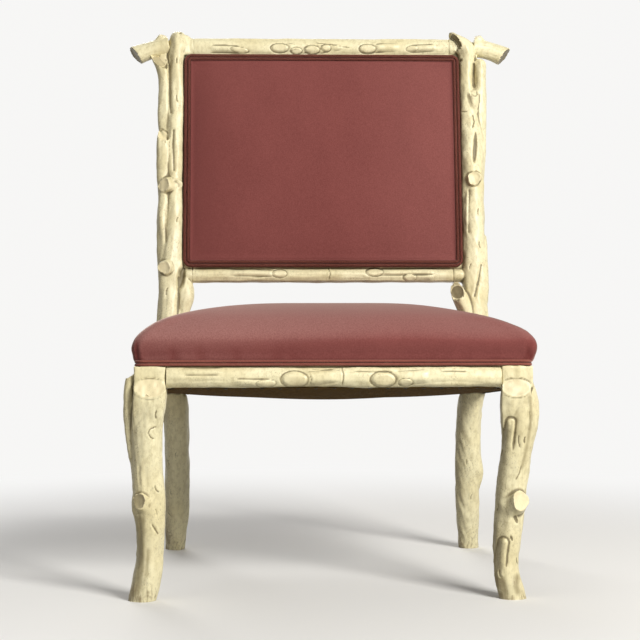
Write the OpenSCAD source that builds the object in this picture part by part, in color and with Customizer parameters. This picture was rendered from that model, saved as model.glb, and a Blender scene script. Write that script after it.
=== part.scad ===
// Rustic open chair carved to look like painted branches, with a webbed seat and back.
// Millimetres, +Z up, front towards -Y, origin on the floor under the middle of the chair.
// Left and right are the viewer's, looking at the front.

/* [Seat] */
// Width over the two front legs
seat_w = 622; // [580:2:680]
// Front face of the seat to the axis of the back posts
seat_d = 463; // [430:1:500]
// Height of the line where the fabric ends on the front rail
tack_z = 367; // [340:1:400]
// Fall of the seat towards the back, in degrees
seat_slope = 5.3; // [2:0.1:7]
// Height of carved wood that shows below the fabric
rail_show = 33; // [28:1:40]
// Height of plain wood that the fabric covers
rail_land = 31; // [24:1:36]
// Thickness of the seat rails
rail_t = 34; // [28:1:38]
// Amount by which the side rails draw in towards the back
rail_taper = 8; // [4:1:12]

/* [Front legs] */
// Square block at the head of a front leg
leg_w = 50; // [44:1:54]
// Radius of the leg below its block
leg_r = 24; // [20:0.5:25]
// Outward kick of the foot
foot_kick = 14; // [4:1:20]

/* [Back] */
// Square block of a back post at the seat
post_w = 48; // [42:1:52]
// Radius of a post's main branch
post_r = 21; // [19:0.5:23]
// Lean of the back, in degrees
back_rake = 11.9; // [8:0.1:14]
// Distance that the rear foot stands behind the post's knee
rear_kick = 57; // [40:1:70]
// Height of the underside of the lower back rail
lower_rail_z = 491; // [480:1:500]
// Height of the underside of the crest rail
crest_z = 909; // [880:1:940]
// Height of the carved part of the lower back rail
low_show = 25; // [22:1:30]
// Height of the carved part of the crest rail, some of it behind the welt
crest_show = 35; // [30:1:38]
// Thickness of the carved part of the back rails
back_rail_t = 32; // [30:1:38]
// Width of the upholstered back
back_w = 509; // [480:1:540]
// Width of the rebate that the back is tacked in
back_land = 18; // [16:1:22]
// Thickness of the wood left at the rebate
back_land_t = 17; // [14:1:19]
// Length of the cut branch ends beside the crest rail
stub_len = 66; // [40:1:80]
// Radius of those branch ends
stub_r = 17.5; // [14:0.5:19]

/* [Joinery] */
// Diameter of a dowel
dowel_d = 10; // [8:0.5:11]
// Length of a dowel
dowel_l = 50; // [40:1:54]
// Depth of the front and rear rails' dowels in the legs and posts
dowel_in_leg = 20; // [16:0.5:21]
// Spacing of a pair of dowels in a seat rail
dowel_gap = 30; // [22:1:34]
// Spacing of a pair of dowels in a back rail
back_dowel_gap = 20; // [16:1:22]
// Clearance of a dowel all round and at its ends
dowel_clear = 0.2; // [0.1:0.05:0.4]
// Side of a corner block along the rails
block_side = 62; // [50:1:70]
// Height of a corner block
block_h = 36; // [28:1:44]
// Shank diameter of the corner block screws
screw_d = 5; // [4:0.5:6]
// Length of the corner block screws
screw_l = 36; // [30:1:38]
// Head diameter of the corner block screws
screw_head_d = 9.5; // [8:0.5:10]

/* [Upholstery] */
// Height of the cushion's border at the front
border_h = 45; // [38:1:52]
// Height of the cushion's crown over the line of tacks
crown_h = 112; // [90:1:125]
// Outward swell of the border
border_swell = 12; // [6:0.5:14]
// Thickness of the velvet and its lining
cover_t = 1.6; // [1.2:0.1:2]
// Diameter of a welt cord on the seat
seat_welt_d = 4.8; // [4:0.1:5.4]
// Diameter of a welt cord on the back
back_welt_d = 6; // [5:0.1:6.4]
// Crown of the upholstered back
back_crown = 17; // [10:1:22]
// Width of a webbing strip
web_w = 52; // [40:1:56]
// Thickness of a webbing strip
web_t = 1.4; // [1.2:0.1:1.8]
// Strips of webbing from front to back of the seat
web_count = 5; // [4:1:5]
// Thickness of the sacking over the webbing
hessian_t = 1; // [0.8:0.1:1.4]
// Thickness of the cloth under the seat
dust_t = 0.8; // [0.6:0.1:1.2]
// Sag of the cloth under the seat
dust_sag = 12; // [3:0.5:14]
// Clearance between one soft layer and the next
fit_gap = 0.3; // [0.2:0.05:0.4]

/* [Hidden] */

paint = [0.95, 0.91, 0.76];
bare_wood = [0.72, 0.58, 0.40];
velvet = [0.56, 0.32, 0.30];
velvet_light = [0.65, 0.40, 0.37];
jute = [0.70, 0.60, 0.42];
foam_white = [0.90, 0.86, 0.72];
dust_brown = [0.22, 0.17, 0.10];
steel = [0.62, 0.62, 0.60];

// Heights of the post's knee and of the bend where the straight back begins
knee_z = tack_z + 3;
bend_z = knee_z + 90;
rake_t = tan(back_rake);
knee_d = seat_d;
// Depth behind the front face of the post's axis at a height
function axis_d(z) =
    z < knee_z ? knee_d + rear_kick * pow((knee_z - z) / knee_z, 2)
    : z < bend_z ? knee_d + rake_t * pow(z - knee_z, 2) / (2 * (bend_z - knee_z))
    : knee_d + rake_t * (z - (knee_z + bend_z) / 2);
crest_top = crest_z + crest_show;
post_top = crest_top + 13;
front_reach = 18;
rear_reach = 33;
front_y = -(axis_d(post_top) + rear_reach - front_reach) / 2;
function axis_y(z) = front_y + axis_d(z);

// Land of the seat rails, set in by the thickness of cover and welt
land_in = cover_t + seat_welt_d + 2 * fit_gap;
half_w = seat_w / 2;
rail_h = rail_show + rail_land;
leg_in = half_w - leg_w;
leg_x = half_w - leg_w / 2;
leg_y = front_y + leg_w / 2 - 3;
leg_neck = tack_z - rail_show + 8;
// Post block, with its flat front and inner faces for the rails
post_out = half_w - rail_taper;
post_x = post_out - post_w / 2;
post_in = post_out - post_w;
post_v0 = (seat_d - post_w / 2) / cos(seat_slope);
post_v1 = post_v0 + post_w;
side_v0 = leg_w;
side_len = post_v0 - side_v0;
rear_v0 = post_v0 + 6;
rear_v1 = rear_v0 + rail_t;
function out_x(v) = half_w - rail_taper * max(0, v - side_v0) / side_len;

// Panel of the back, in the frame of the leaning back
function along(z) = (z - bend_z) / cos(back_rake);
low_t0 = along(lower_rail_z);
low_t1 = low_t0 + low_show;
crest_t0 = along(crest_z);
crest_t1 = crest_t0 + crest_show;
panel_x = back_w / 2;
post_inner = panel_x - back_land;
// A post's axis beside the panel, and the outer side of its tongue
back_x = panel_x + 24.5;
tongue_x = panel_x + 36.5;
land_front = -back_land_t / 2;
land_rear = back_land_t / 2;
back_front = -back_rail_t / 2;
rim_w = 2 * back_welt_d + 2;
panel_r = 14;

module seat_frame() {
    translate([0, front_y, tack_z]) rotate([-seat_slope, 0, 0]) children();
}

module back_frame() {
    translate([0, axis_y(bend_z), bend_z]) rotate([-back_rake, 0, 0]) children();
}

// Puts what is drawn for the right side on the left
module on_side(side) {
    mirror([side < 0 ? 1 : 0, 0, 0]) children();
}

function unit(v) = v / norm(v);
function row_xyz(p) = [p[0], p[1], p[2]];

// Point on a smooth curve through rows, at row i plus the share u of the next span
function curve_at(rows, i, u) =
    let (n = len(rows) - 1,
        a = rows[max(0, i - 1)],
        b = rows[i],
        c = rows[min(n, i + 1)],
        d = rows[min(n, i + 2)],
        m0 = (c - a) / 2,
        m1 = (d - b) / 2,
        u2 = u * u,
        u3 = u2 * u)
    (2 * u3 - 3 * u2 + 1) * b + (u3 - 2 * u2 + u) * m0
        + (3 * u2 - 2 * u3) * c + (u3 - u2) * m1;
function curve(rows, steps) = concat(
    [for (i = [0 : len(rows) - 2], k = [0 : steps - 1]) curve_at(rows, i, k / steps)],
    [rows[len(rows) - 1]]);

// Slides a ring's point along the branch on to a slanting cut
function on_cut(p, c, t, cut) = p + t * (((c - p) * cut) / (t * cut));

// Ring of points round row i of a branch, squeezed by flat across the reference
function ring(rows, i, sides, ref, flat, gnarl, cut) =
    let (n = len(rows) - 1,
        c = row_xyz(rows[i]),
        t = unit(row_xyz(rows[min(n, i + 1)]) - row_xyz(rows[max(0, i - 1)])),
        e1 = unit(cross(ref, t)),
        e2 = cross(t, e1),
        r = rows[i][3])
    [for (k = [0 : sides - 1])
        let (a = 360 * k / sides,
            g = 1 + gnarl * sin(3 * a + 55 * i) + gnarl * sin(2 * a - 80 * i),
            p = c + r * g * (cos(a) * e1 + flat * sin(a) * e2))
        cut == undef ? p : on_cut(p, c, t, unit(cut))];

// Middle of a ring of points
function middle(r) = [for (k = [0 : 2]) let (sum_k = [for (p = r) 1] * [for (p = r) p[k]]) sum_k / len(r)];

// Closed skin over rings that all have the same number of points
module skin(rings) {
    n = len(rings[0]);
    m = len(rings);
    points = concat([for (r = rings, p = r) p], [middle(rings[0]), middle(rings[m - 1])]);
    walls = [for (i = [0 : m - 2], k = [0 : n - 1])
        let (a = i * n + k, b = i * n + (k + 1) % n)
        each [[a, b + n, b], [a, a + n, b + n]]];
    ends = [for (k = [0 : n - 1])
        let (k2 = (k + 1) % n)
        each [[m * n, k, k2], [m * n + 1, (m - 1) * n + k2, (m - 1) * n + k]]];
    polyhedron(points, concat(walls, ends));
}

// Branch through rows of x, y, z and radius, with slanting cuts at either end
module branch(rows, sides = 12, steps = 2, ref = [0, 1, 0], flat = 1, gnarl = 0.03,
        cut0 = undef, cut1 = undef) {
    path = curve(rows, steps);
    m = len(path) - 1;
    skin([for (i = [0 : m])
        ring(path, i, sides, ref, flat, gnarl,
            i == 0 ? cut0 : i == m ? cut1 : undef)]);
}

// Cut end of a twig: a short round stub that leans from its root
module stub(at, toward, r, len, taper = 0.9) {
    d = unit(toward);
    translate(at) rotate([0, acos(d[2]), atan2(d[1], d[0])])
        cylinder(h = len, r1 = r, r2 = r * taper, $fn = 32);
}

// Dowels lie along x or along y, in holes that clear them all round
module dowel_x(x) {
    translate([x - dowel_l / 2, 0, 0]) rotate([0, 90, 0])
        cylinder(h = dowel_l, d = dowel_d, $fn = 24);
}

module dowel_hole_x(x) {
    translate([x - dowel_l / 2 - dowel_clear, 0, 0]) rotate([0, 90, 0])
        cylinder(h = dowel_l + 2 * dowel_clear, d = dowel_d + 2 * dowel_clear, $fn = 24);
}

// Middle heights of the dowel pairs: two rails that meet in a leg have theirs staggered
block_mid = (rail_land - rail_show) / 2;
dowel_stagger = dowel_d / 2 + 1;
cross_mid = block_mid - dowel_stagger;
side_mid = block_mid + dowel_stagger;

module pair_w(mid) {
    for (s = [-1, 1]) translate([0, 0, mid + s * dowel_gap / 2]) children();
}

module pair_t(mid) {
    for (s = [-1, 1]) translate([0, 0, mid + s * back_dowel_gap / 2]) children();
}

// Middle of a front or rear rail's dowel, from the face of the leg or post
dowel_back = dowel_l / 2 - dowel_in_leg;
front_dowel_v = land_in + (rail_t - land_in) / 2;
rear_dowel_v = (rear_v0 + rear_v1) / 2;
function side_dowel_x(v) = out_x(v) - land_in - (rail_t - land_in) / 2;
low_mid = (low_t0 + low_t1 + back_land) / 2;
crest_mid = (crest_t0 + crest_t1 - back_land) / 2;

// Where each kind of dowel sits, on the right side of the chair
module front_joint() {
    seat_frame() translate([0, front_dowel_v, 0]) pair_w(cross_mid) children();
}

module rear_joint() {
    seat_frame() translate([0, rear_dowel_v, 0]) pair_w(cross_mid) children();
}

module side_joint(v) {
    seat_frame() translate([side_dowel_x(v), v, 0]) rotate([0, 0, 90]) pair_w(side_mid) children();
}

module back_joint(mid) {
    back_frame() pair_t(mid) children();
}

// Middle of a crest stub where it meets the post, and its droop in degrees
stub_z = crest_top - 15;
stub_root = post_inner + 45;
stub_droop = 14;
stub_dowel_shift = 9;

module stub_joint() {
    translate([stub_root, axis_y(stub_z), stub_z]) rotate([0, stub_droop, 0]) children();
}

// Space on the post's outer side that the stub stands in
module stub_seat() {
    stub_joint() translate([0, -stub_r - 3, -stub_r - 2]) cube([60, 2 * stub_r + 6, 2 * stub_r + 30]);
}

// Sawn face of the log carved on a leg's head: the tilt of the face, and what is cut away in front of it
log_tilt = 71;
log_face_z = leg_neck - 9;
module log_face(x, r) {
    translate([x, front_y - 1, log_face_z]) rotate([log_tilt, 0, 0]) scale([1, 0.62, 1])
        cylinder(h = 20, r = r, $fn = 32);
}

// Log that runs down the leg from that face
module log(x0, x1, r) {
    branch([[x0, front_y + 18, 268, r - 6], [(x0 + x1) / 2, front_y + 8, 298, r - 3],
        [x1, front_y - 1, log_face_z, r]], 20, 1, flat = 0.42,
        cut1 = [0, -sin(log_tilt), cos(log_tilt)]);
}

// Head of a front leg: carved block below the tack line, and above it plain land whose outer
// corner is rounded to lie inside the cover
module leg_head() {
    r = cover_corner - (land_in - cover_in);
    seat_frame() {
        translate([leg_in, 0, -rail_show]) cube([leg_w, leg_w, rail_show]);
        translate([0, 0, -1]) linear_extrude(rail_land + 1) polygon(concat(
            [[half_w - land_in, leg_w], [leg_in, leg_w], [leg_in, land_in]],
            [for (k = [0 : corner_steps]) let (a = -90 + 90 * k / corner_steps)
                [half_w - land_in + r * (cos(a) - 1), land_in + r * (sin(a) + 1)]]));
    }
}

module leg_holes() {
    front_joint() dowel_hole_x(leg_in - dowel_back);
    side_joint(side_v0) dowel_hole_x(0);
}

module floor_cut() {
    translate([-500, -500, -60]) cube([1000, 1000, 60]);
}

module front_leg_left() {
    color(paint) difference() {
        union() {
            on_side(-1) leg_head();
            branch([[-leg_x, leg_y, leg_neck, leg_r + 3], [-leg_x - 3, leg_y - 2, 300, leg_r + 3.5],
                [-leg_x - 3, leg_y - 1, 252, leg_r], [-leg_x, leg_y, 221, leg_r - 1],
                [-leg_x - 1, leg_y + 1, 180, leg_r - 1], [-leg_x - 2, leg_y, 159, leg_r + 0.5],
                [-leg_x, leg_y, 113, leg_r - 1], [-leg_x, leg_y, 66, leg_r - 2],
                [-leg_x - 4, leg_y - 2, 35, leg_r - 2.5],
                [-leg_x - foot_kick, leg_y - 5, -8, leg_r - 4]], 16);
            // Slanting cut log on the face of the block
            log(-leg_x, -leg_x, 25.5);
            // Second cut branch on the outer side
            branch([[-half_w - 6, leg_y, 336, 12], [-half_w - 4, leg_y, 310, 13],
                [-half_w + 2, leg_y, 282, 12], [-half_w + 8, leg_y, 262, 8]], 12,
                cut0 = [-0.8, 0, 0.6]);
            stub([-leg_x - 9, leg_y - 9, 155], [-0.35, -1, 0.1], 12, 20);
            stub([-leg_x + 6, leg_y - 10, 300], [0.35, -1, -0.2], 8, 18);
            stub([-leg_x - 10, leg_y + 8, 120], [-0.9, 0.6, 0.3], 9, 20);
        }
        log_face(-leg_x, 25.5);
        floor_cut();
        on_side(-1) leg_holes();
    }
}

module front_leg_right() {
    color(paint) difference() {
        union() {
            leg_head();
            branch([[leg_x, leg_y, leg_neck, leg_r + 3], [leg_x + 2, leg_y - 2, 310, leg_r + 4],
                [leg_x + 5, leg_y - 1, 283, leg_r + 5.5], [leg_x + 2, leg_y, 252, leg_r + 2.5],
                [leg_x + 1, leg_y, 221, leg_r], [leg_x - 7, leg_y + 1, 190, leg_r - 1],
                [leg_x - 12, leg_y + 1, 136, leg_r - 1.5], [leg_x - 15, leg_y, 97, leg_r - 2.5],
                [leg_x - 16, leg_y, 66, leg_r - 3.5], [leg_x - 12, leg_y - 2, 35, leg_r - 4],
                [leg_x - 16 + foot_kick, leg_y - 5, -8, leg_r - 4]], 16);
            log(leg_x - 6, leg_x - 3, 23);
            branch([[leg_x - 14, front_y + 14, 232, 6], [leg_x - 14, front_y + 4, 262, 7.5],
                [leg_x - 13, front_y, 284, 8]], 10, cut1 = [0, -0.6, 0.8]);
            stub([leg_x - 6, leg_y - 6, 156], [0.5, -1, 0.05], 14.5, 25);
            branch([[leg_x - 18, leg_y - 12, 74, 6], [leg_x - 18, leg_y - 19, 88, 7],
                [leg_x - 18, leg_y - 22, 100, 6.5]], 10, cut1 = [0, -0.5, 0.85]);
            stub([leg_x + 6, leg_y + 8, 236], [0.9, 0.6, 0.4], 9, 24);
        }
        log_face(leg_x - 3, 23);
        floor_cut();
        leg_holes();
    }
}

// Block of a post at the seat, and the rebated tongue that carries the back
module post_block() {
    seat_frame() translate([post_in, post_v0, -rail_show]) cube([post_w, post_w, rail_h]);
}

module post_tongue() {
    back_frame() {
        translate([post_inner, land_front, low_t0 - 4])
            cube([tongue_x - post_inner, back_land_t, crest_t1 - low_t0 + 4]);
        for (p = [[low_t0 - 4, low_show], [crest_t0, crest_show]])
            translate([post_inner, back_front + 2, p[0]])
                cube([stub_root - post_inner - 4, back_rail_t - 4, p[1] + 3]);
    }
}

// Room for the upholstery between the posts, front and rear, and flat faces for the rails
module post_cuts() {
    seat_frame() translate([post_in - 60, post_v0 - 40, -rail_show])
        cube([post_w + 100, 40, rail_h + 30]);
    seat_frame() translate([post_in - 60, post_v0 - 40, -rail_show])
        cube([60, 140, rail_h + 12]);
    back_frame() {
        translate([post_inner - 40, -60, low_t0 - 30]) cube([40, 120, crest_t1 - low_t0 + 70]);
        translate([post_inner - 1, -60, low_t1]) cube([back_land + 1, 60 + land_front, crest_t0 - low_t1]);
        translate([post_inner - 1, land_rear, low_t1]) cube([back_land + 1, 60, crest_t0 - low_t1]);
    }
    stub_seat();
}

module post_holes() {
    side_joint(post_v0) dowel_hole_x(0);
    rear_joint() dowel_hole_x(post_in - dowel_back);
    back_joint(low_mid) dowel_hole_x(post_inner);
    back_joint(crest_mid) dowel_hole_x(post_inner);
    stub_joint() dowel_hole_x(stub_dowel_shift);
}

// Row of a post's branch: height, distance from the chair's middle line, depth off the axis, radius
function post_rows(side, rows) = [for (p = rows) [side * p[1], axis_y(p[0]) + p[2], p[0], p[3]]];
post_head = crest_top - 28;
// How far below the lower rail the leg ends inside the branches, and the main branch starts
fork_drop = 60;
root_drop = 40;
function lift(f) = lower_rail_z + f * (post_head - lower_rail_z);

// Leg below the seat and the bend up to the back, on an axis that runs from foot_x to back_x
module post_foot(side, foot_x) {
    r = post_r;
    branch(post_rows(side, [[-8, foot_x, 0, r - 3], [30, foot_x - 3, 0, r - 2], [90, foot_x - 6, 0, r + 1],
        [180, foot_x - 7, 1, r + 1.5], [270, foot_x - 5, 0, r + 2], [tack_z - 40, post_x, -2, r + 3],
        [tack_z + 10, post_x, 0, r + 4], [lower_rail_z - fork_drop, back_x - 2, 0, r + 3],
        [lower_rail_z - 10, back_x - 4, 0, r + 1]]), 14, 2);
}

module back_post_left() {
    color(paint) difference() {
        union() {
            on_side(-1) post_block();
            on_side(-1) post_tongue();
            post_foot(-1, post_x - 6);
            // Main branch up to the crest
            branch(post_rows(-1, [[lower_rail_z - root_drop, back_x - 6, 1, post_r],
                [lift(0.08), back_x - 5, -4, post_r],
                [lift(0.3), back_x - 6, -6, post_r - 2], [lift(0.5), back_x - 7, -6, post_r - 2],
                [lift(0.7), back_x - 9, -6, post_r - 3], [lift(0.88), back_x - 10, -7, 16],
                [post_head, back_x - 14, -5, 17], [post_top - 12, back_x - 15, -4, 17],
                [post_top - 3, back_x - 15, -4, 12]]), 12, 2);
            // Outer branch, cut below the crest stub
            branch(post_rows(-1, [[lift(0.6), back_x + 2, 2, 13], [lift(0.74), back_x + 8, 0, 12],
                [lift(0.89), back_x + 12, -2, 10.5], [lift(0.94), back_x + 19, -4, 11],
                [lift(0.965), back_x + 23, -5, 9]]), 10, 2);
            // Shoulder of its head, beside the crest rail
            branch(post_rows(-1, [[post_head - 20, back_x - 25, -4, 10], [post_head + 5, back_x - 27, -3, 12],
                [post_top - 20, back_x - 26, -3, 13], [post_top - 5, back_x - 26, -3, 9]]), 10, 2);
            // Lower outer branch with its cut end facing forward
            branch(post_rows(-1, [[lower_rail_z - 62, back_x + 2, -4, 15],
                [lower_rail_z - 10, back_x + 4, -7, 15],
                [lift(0.12), back_x + 6, -5, 15], [lift(0.35), back_x + 6, -4, 16],
                [lift(0.55), back_x + 9, -8, 14], [lift(0.65), back_x + 13, -14, 11]]), 10, 2,
                cut1 = [0, -0.75, 0.65]);
            // Swelling inner branch under the lower rail
            branch(post_rows(-1, [[lower_rail_z - 68, back_x - 22, 0, 9],
                [lower_rail_z - 40, back_x - 28, -3, 13],
                [lower_rail_z - 18, back_x - 28, -3, 15], [lower_rail_z + 4, back_x - 24, -2, 13]]), 10, 2);
            // Knots
            stub([-back_x - 6, axis_y(lift(0.415)) - 12, lift(0.415)], [-0.3, -1, 0.15], 11, 13);
            stub([-back_x - 7, axis_y(lower_rail_z + 28) - 12, lower_rail_z + 28], [-0.3, -1, -0.1], 11, 14);
            stub([-post_x - 8, axis_y(250) + 6, 250], [-1, 0.5, 0.4], 9, 20);
        }
        floor_cut();
        on_side(-1) post_cuts();
        on_side(-1) post_holes();
    }
}

module back_post_right() {
    color(paint) difference() {
        union() {
            post_block();
            post_tongue();
            post_foot(1, post_x - 7);
            // Hooked inner branch that ends over the crest rail
            branch(post_rows(1, [[lower_rail_z - root_drop, back_x - 6, 1, post_r],
                [lift(0.08), back_x - 4, -4, post_r],
                [lift(0.25), back_x - 2, -6, post_r], [lift(0.45), back_x, -6, post_r - 1],
                [lift(0.62), back_x, -6, post_r - 2], [lift(0.78), back_x - 8, -7, 15.5],
                [lift(0.9), back_x - 10, -9, 13.5], [post_head - 4, back_x - 8, -11, 15],
                [post_head + 15, back_x - 16, -14, 16.5], [post_head + 23, back_x - 36, -16, 17]]), 12, 2,
                cut1 = [-1, -0.35, 0]);
            // Outer branch with its rounded end
            branch(post_rows(1, [[lift(0.6), back_x + 8, 2, 15], [lift(0.78), back_x + 13, 0, 13],
                [lift(0.9), back_x + 16, -3, 13], [lift(0.95), back_x + 16, -4, 12],
                [lift(0.975), back_x + 16, -4, 7]]), 10, 2);
            // Thin inner branch between the rails
            branch(post_rows(1, [[lift(0.18), back_x - 6, -9, 8], [lift(0.3), back_x - 7, -15, 10],
                [lift(0.45), back_x - 4, -15, 10], [lift(0.56), back_x - 2, -8, 8]]), 10, 2);
            // Cut stub under the lower rail
            branch(post_rows(1, [[lower_rail_z - 75, back_x - 10, 0, 12],
                [lower_rail_z - 50, back_x - 16, -6, 13],
                [lower_rail_z - 18, back_x - 34, -14, 12]]), 10, 2, cut1 = [-0.8, -0.6, 0]);
            // Outer branch beside the lower rail
            branch(post_rows(1, [[lower_rail_z - 60, back_x + 2, -2, 15],
                [lower_rail_z - 10, back_x + 7, -5, 15],
                [lift(0.1), back_x + 8, -3, 14], [lift(0.2), back_x + 8, -3, 13]]), 10, 2);
            stub([back_x + 1, axis_y(lift(0.445)) - 10, lift(0.445)], [0.1, -1, 0.1], 12.5, 16);
            // Small stub in the fork of the two branches
            branch(post_rows(1, [[lift(0.7), back_x - 2, -8, 9], [lift(0.79), back_x, -14, 8],
                [lift(0.84), back_x + 0.5, -15, 7]]), 10, 2, cut1 = [0, -0.5, 0.85]);
            stub([post_x, axis_y(150), 150], [1, -0.4, 0.2], 9, 16);
        }
        floor_cut();
        post_cuts();
        post_holes();
    }
}

// Branch along a rail, from rows of x, depth, height and radius, in the rail's own frame
module twig(rows, cut1) {
    branch(rows, 10, 1, gnarl = 0.02, cut1 = cut1);
}

module rail_wood(half_len) {
    translate([-half_len, land_in, -1]) cube([2 * half_len, rail_t - land_in, rail_land + 1]);
    translate([-half_len, rail_t - 24, -rail_show + 1.5]) cube([2 * half_len, 24, rail_show]);
}

module front_seat_rail() {
    r = rail_show / 2;
    color(paint) difference() {
        seat_frame() intersection() {
            translate([-leg_in, -20, -60]) cube([2 * leg_in, 100, 160]);
            union() {
                rail_wood(leg_in);
                branch([[-leg_in - 6, 12, -r, r], [-150, 12, -r, r], [-60, 13, -r, r - 0.5],
                    [20, 12, -r, r], [130, 12, -r, r], [leg_in + 6, 12, -r, r]], 14, 3, flat = 0.8);
                twig([[-150, 8, -26, 4], [-110, 2, -27, 6], [-96, -2, -27, 6]], cut1 = [0.75, -0.65, 0]);
                twig([[-10, 10, -18, 6], [-40, 3, -19, 11], [-62, -3, -20, 11.5]], cut1 = [-0.45, -0.9, 0]);
                twig([[120, 10, -18, 6], [95, 3, -19, 11], [72, -3, -20, 11.5]], cut1 = [-0.5, -0.87, 0]);
                twig([[10, 8, -7, 4], [60, 2, -6, 6], [94, 0, -5, 5]], cut1 = [0.8, -0.6, 0]);
                twig([[150, 8, -26, 4], [124, 1, -26, 6], [112, -2, -26, 6]], cut1 = [-0.6, -0.8, 0]);
            }
        }
        for (s = [-1, 1]) on_side(s) {
            front_joint() dowel_hole_x(leg_in - dowel_back);
            in_front_rail() screw_hole();
        }
    }
}

// Right side rail in plan, set in by d from its outer face
module side_plan(d) {
    polygon([[out_x(side_v0) - d, side_v0], [out_x(post_v0) - d, post_v0],
        [out_x(post_v0) - rail_t, post_v0], [out_x(side_v0) - rail_t, side_v0]]);
}

module side_rail(twigs) {
    r = rail_show / 2;
    color(paint) difference() {
        seat_frame() {
            translate([0, 0, -1]) linear_extrude(rail_land + 1) side_plan(land_in);
            translate([0, 0, -rail_show + 1.5]) linear_extrude(rail_show) side_plan(8);
            intersection() {
                translate([150, side_v0, -60]) cube([250, side_len, 100]);
                union() {
                    branch([[out_x(side_v0) - 12, side_v0 - 6, -r, r],
                        [out_x(side_v0) - 12, side_v0 + 120, -r, r],
                        [out_x(post_v0) - 12, post_v0 - 100, -r, r],
                        [out_x(post_v0) - 12, post_v0 + 6, -r, r]],
                        14, 3, ref = [1, 0, 0], flat = 0.72);
                    for (p = twigs)
                        branch([[out_x(p[0]) - 8, p[0], p[1], p[2] - 3],
                            [out_x(p[0]) - 3, p[0] + p[3] / 2, p[1] - 1, p[2]],
                            [out_x(p[0]) - 1, p[0] + p[3], p[1] - 1, p[2]]], 10, 2, ref = [1, 0, 0],
                            gnarl = 0.02, cut1 = [0.7, p[3] > 0 ? 0.7 : -0.7, 0]);
                }
            }
        }
        side_joint(side_v0) dowel_hole_x(0);
        side_joint(post_v0) dowel_hole_x(0);
        in_side_rail(front_screw_v) screw_hole();
        in_side_rail(rear_screw_v) screw_hole();
    }
}

module side_seat_rail_left() {
    on_side(-1) side_rail([[150, -18, 11, 45], [240, -24, 8, -40], [360, -16, 10, -50]]);
}

module side_seat_rail_right() {
    side_rail([[130, -22, 9, 40], [290, -17, 11, -48], [330, -24, 8, 42]]);
}

module rear_seat_rail() {
    r = rail_show / 2;
    color(paint) difference() {
        seat_frame() intersection() {
            translate([-post_in, rear_v0 - 20, -60]) cube([2 * post_in, 100, 160]);
            union() {
                translate([-post_in, rear_v0, -rail_show + 1.5])
                    cube([2 * post_in, rail_t - 8, rail_h - 1.5]);
                branch([[-post_in - 6, rear_v1 - 10, -r, r], [-90, rear_v1 - 10, -r, r],
                    [80, rear_v1 - 10, -r, r], [post_in + 6, rear_v1 - 10, -r, r]], 12, 3, flat = 0.75);
                twig([[120, rear_v1 - 6, -20, 8], [95, rear_v1, -20, 11], [70, rear_v1 + 4, -19, 11]],
                    cut1 = [-0.6, 0.8, 0]);
                twig([[-140, rear_v1 - 6, -16, 6], [-100, rear_v1 + 1, -14, 9], [-75, rear_v1 + 3, -14, 9]],
                    cut1 = [0.6, 0.8, 0]);
            }
        }
        for (s = [-1, 1]) on_side(s) {
            rear_joint() dowel_hole_x(post_in - dowel_back);
            in_rear_rail() screw_hole();
        }
    }
}

// Back rail with its rebate towards the panel: up is 1 where the rebate lies above the carved part
module back_rail_wood(t0, show, up) {
    land_t0 = up > 0 ? t0 + show - 4 : t0 - back_land;
    translate([-post_inner, back_front + 6, t0 + 1.5])
        cube([2 * post_inner, back_rail_t - 12, show - 3]);
    translate([-post_inner, land_front, land_t0])
        cube([2 * post_inner, back_land_t, back_land + 4]);
}

module back_rail_log(t0, show) {
    r = show / 2;
    f = back_rail_t / show;
    branch([for (p = [[-1.03, 1], [-0.5, 0.96], [-0.1, 1], [0.47, 0.96], [1.03, 1]])
        [p[0] * post_inner, 0, t0 + r, p[1] * r]], 14, 3, flat = f, gnarl = 0.02);
}

// Twig on a back rail. Each row gives shares: along the half length, then the depth forward,
// the height and the radius as shares of the height of wood that shows
module back_twig(t0, h, rows, cut1) {
    twig([for (p = rows) [p[0] * post_inner, -p[1] * h, t0 + p[2] * h, p[3] * h]], cut1);
}

module back_rail_reach(t0) {
    translate([-post_inner, -2 * back_rail_t, t0 - crest_show])
        cube([2 * post_inner, 4 * back_rail_t, 4 * crest_show]);
}

module lower_back_rail() {
    color(paint) difference() {
        back_frame() intersection() {
            back_rail_reach(low_t0);
            union() {
                back_rail_wood(low_t0, low_show, 1);
                back_rail_log(low_t0, low_show);
                back_twig(low_t0, low_show, [[-0.7, 0.32, 0.64, 0.16], [-0.53, 0.52, 0.56, 0.24],
                    [-0.4, 0.8, 0.6, 0.32]],
                    [0.4, -0.9, 0]);
                back_twig(low_t0, low_show, [[-0.56, 0.24, 0.12, 0.12], [-0.47, 0.44, 0.16, 0.18]],
                    [0.6, -0.8, 0]);
                back_twig(low_t0, low_show, [[0.8, 0.32, 0.72, 0.12], [0.55, 0.52, 0.64, 0.24],
                    [0.36, 0.8, 0.68, 0.32]],
                    [-0.5, -0.87, 0]);
                back_twig(low_t0, low_show, [[0.8, 0.24, 0.24, 0.12], [0.68, 0.56, 0.28, 0.28]],
                    [-0.5, -0.87, 0]);
                back_twig(low_t0, low_show, [[-0.25, -0.4, 0.48, 0.24], [-0.08, -0.56, 0.52, 0.36],
                    [0.02, -0.76, 0.52, 0.36]], [0.5, 0.87, 0]);
            }
        }
        for (s = [-1, 1]) on_side(s) back_joint(low_mid) dowel_hole_x(post_inner);
    }
}

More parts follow.
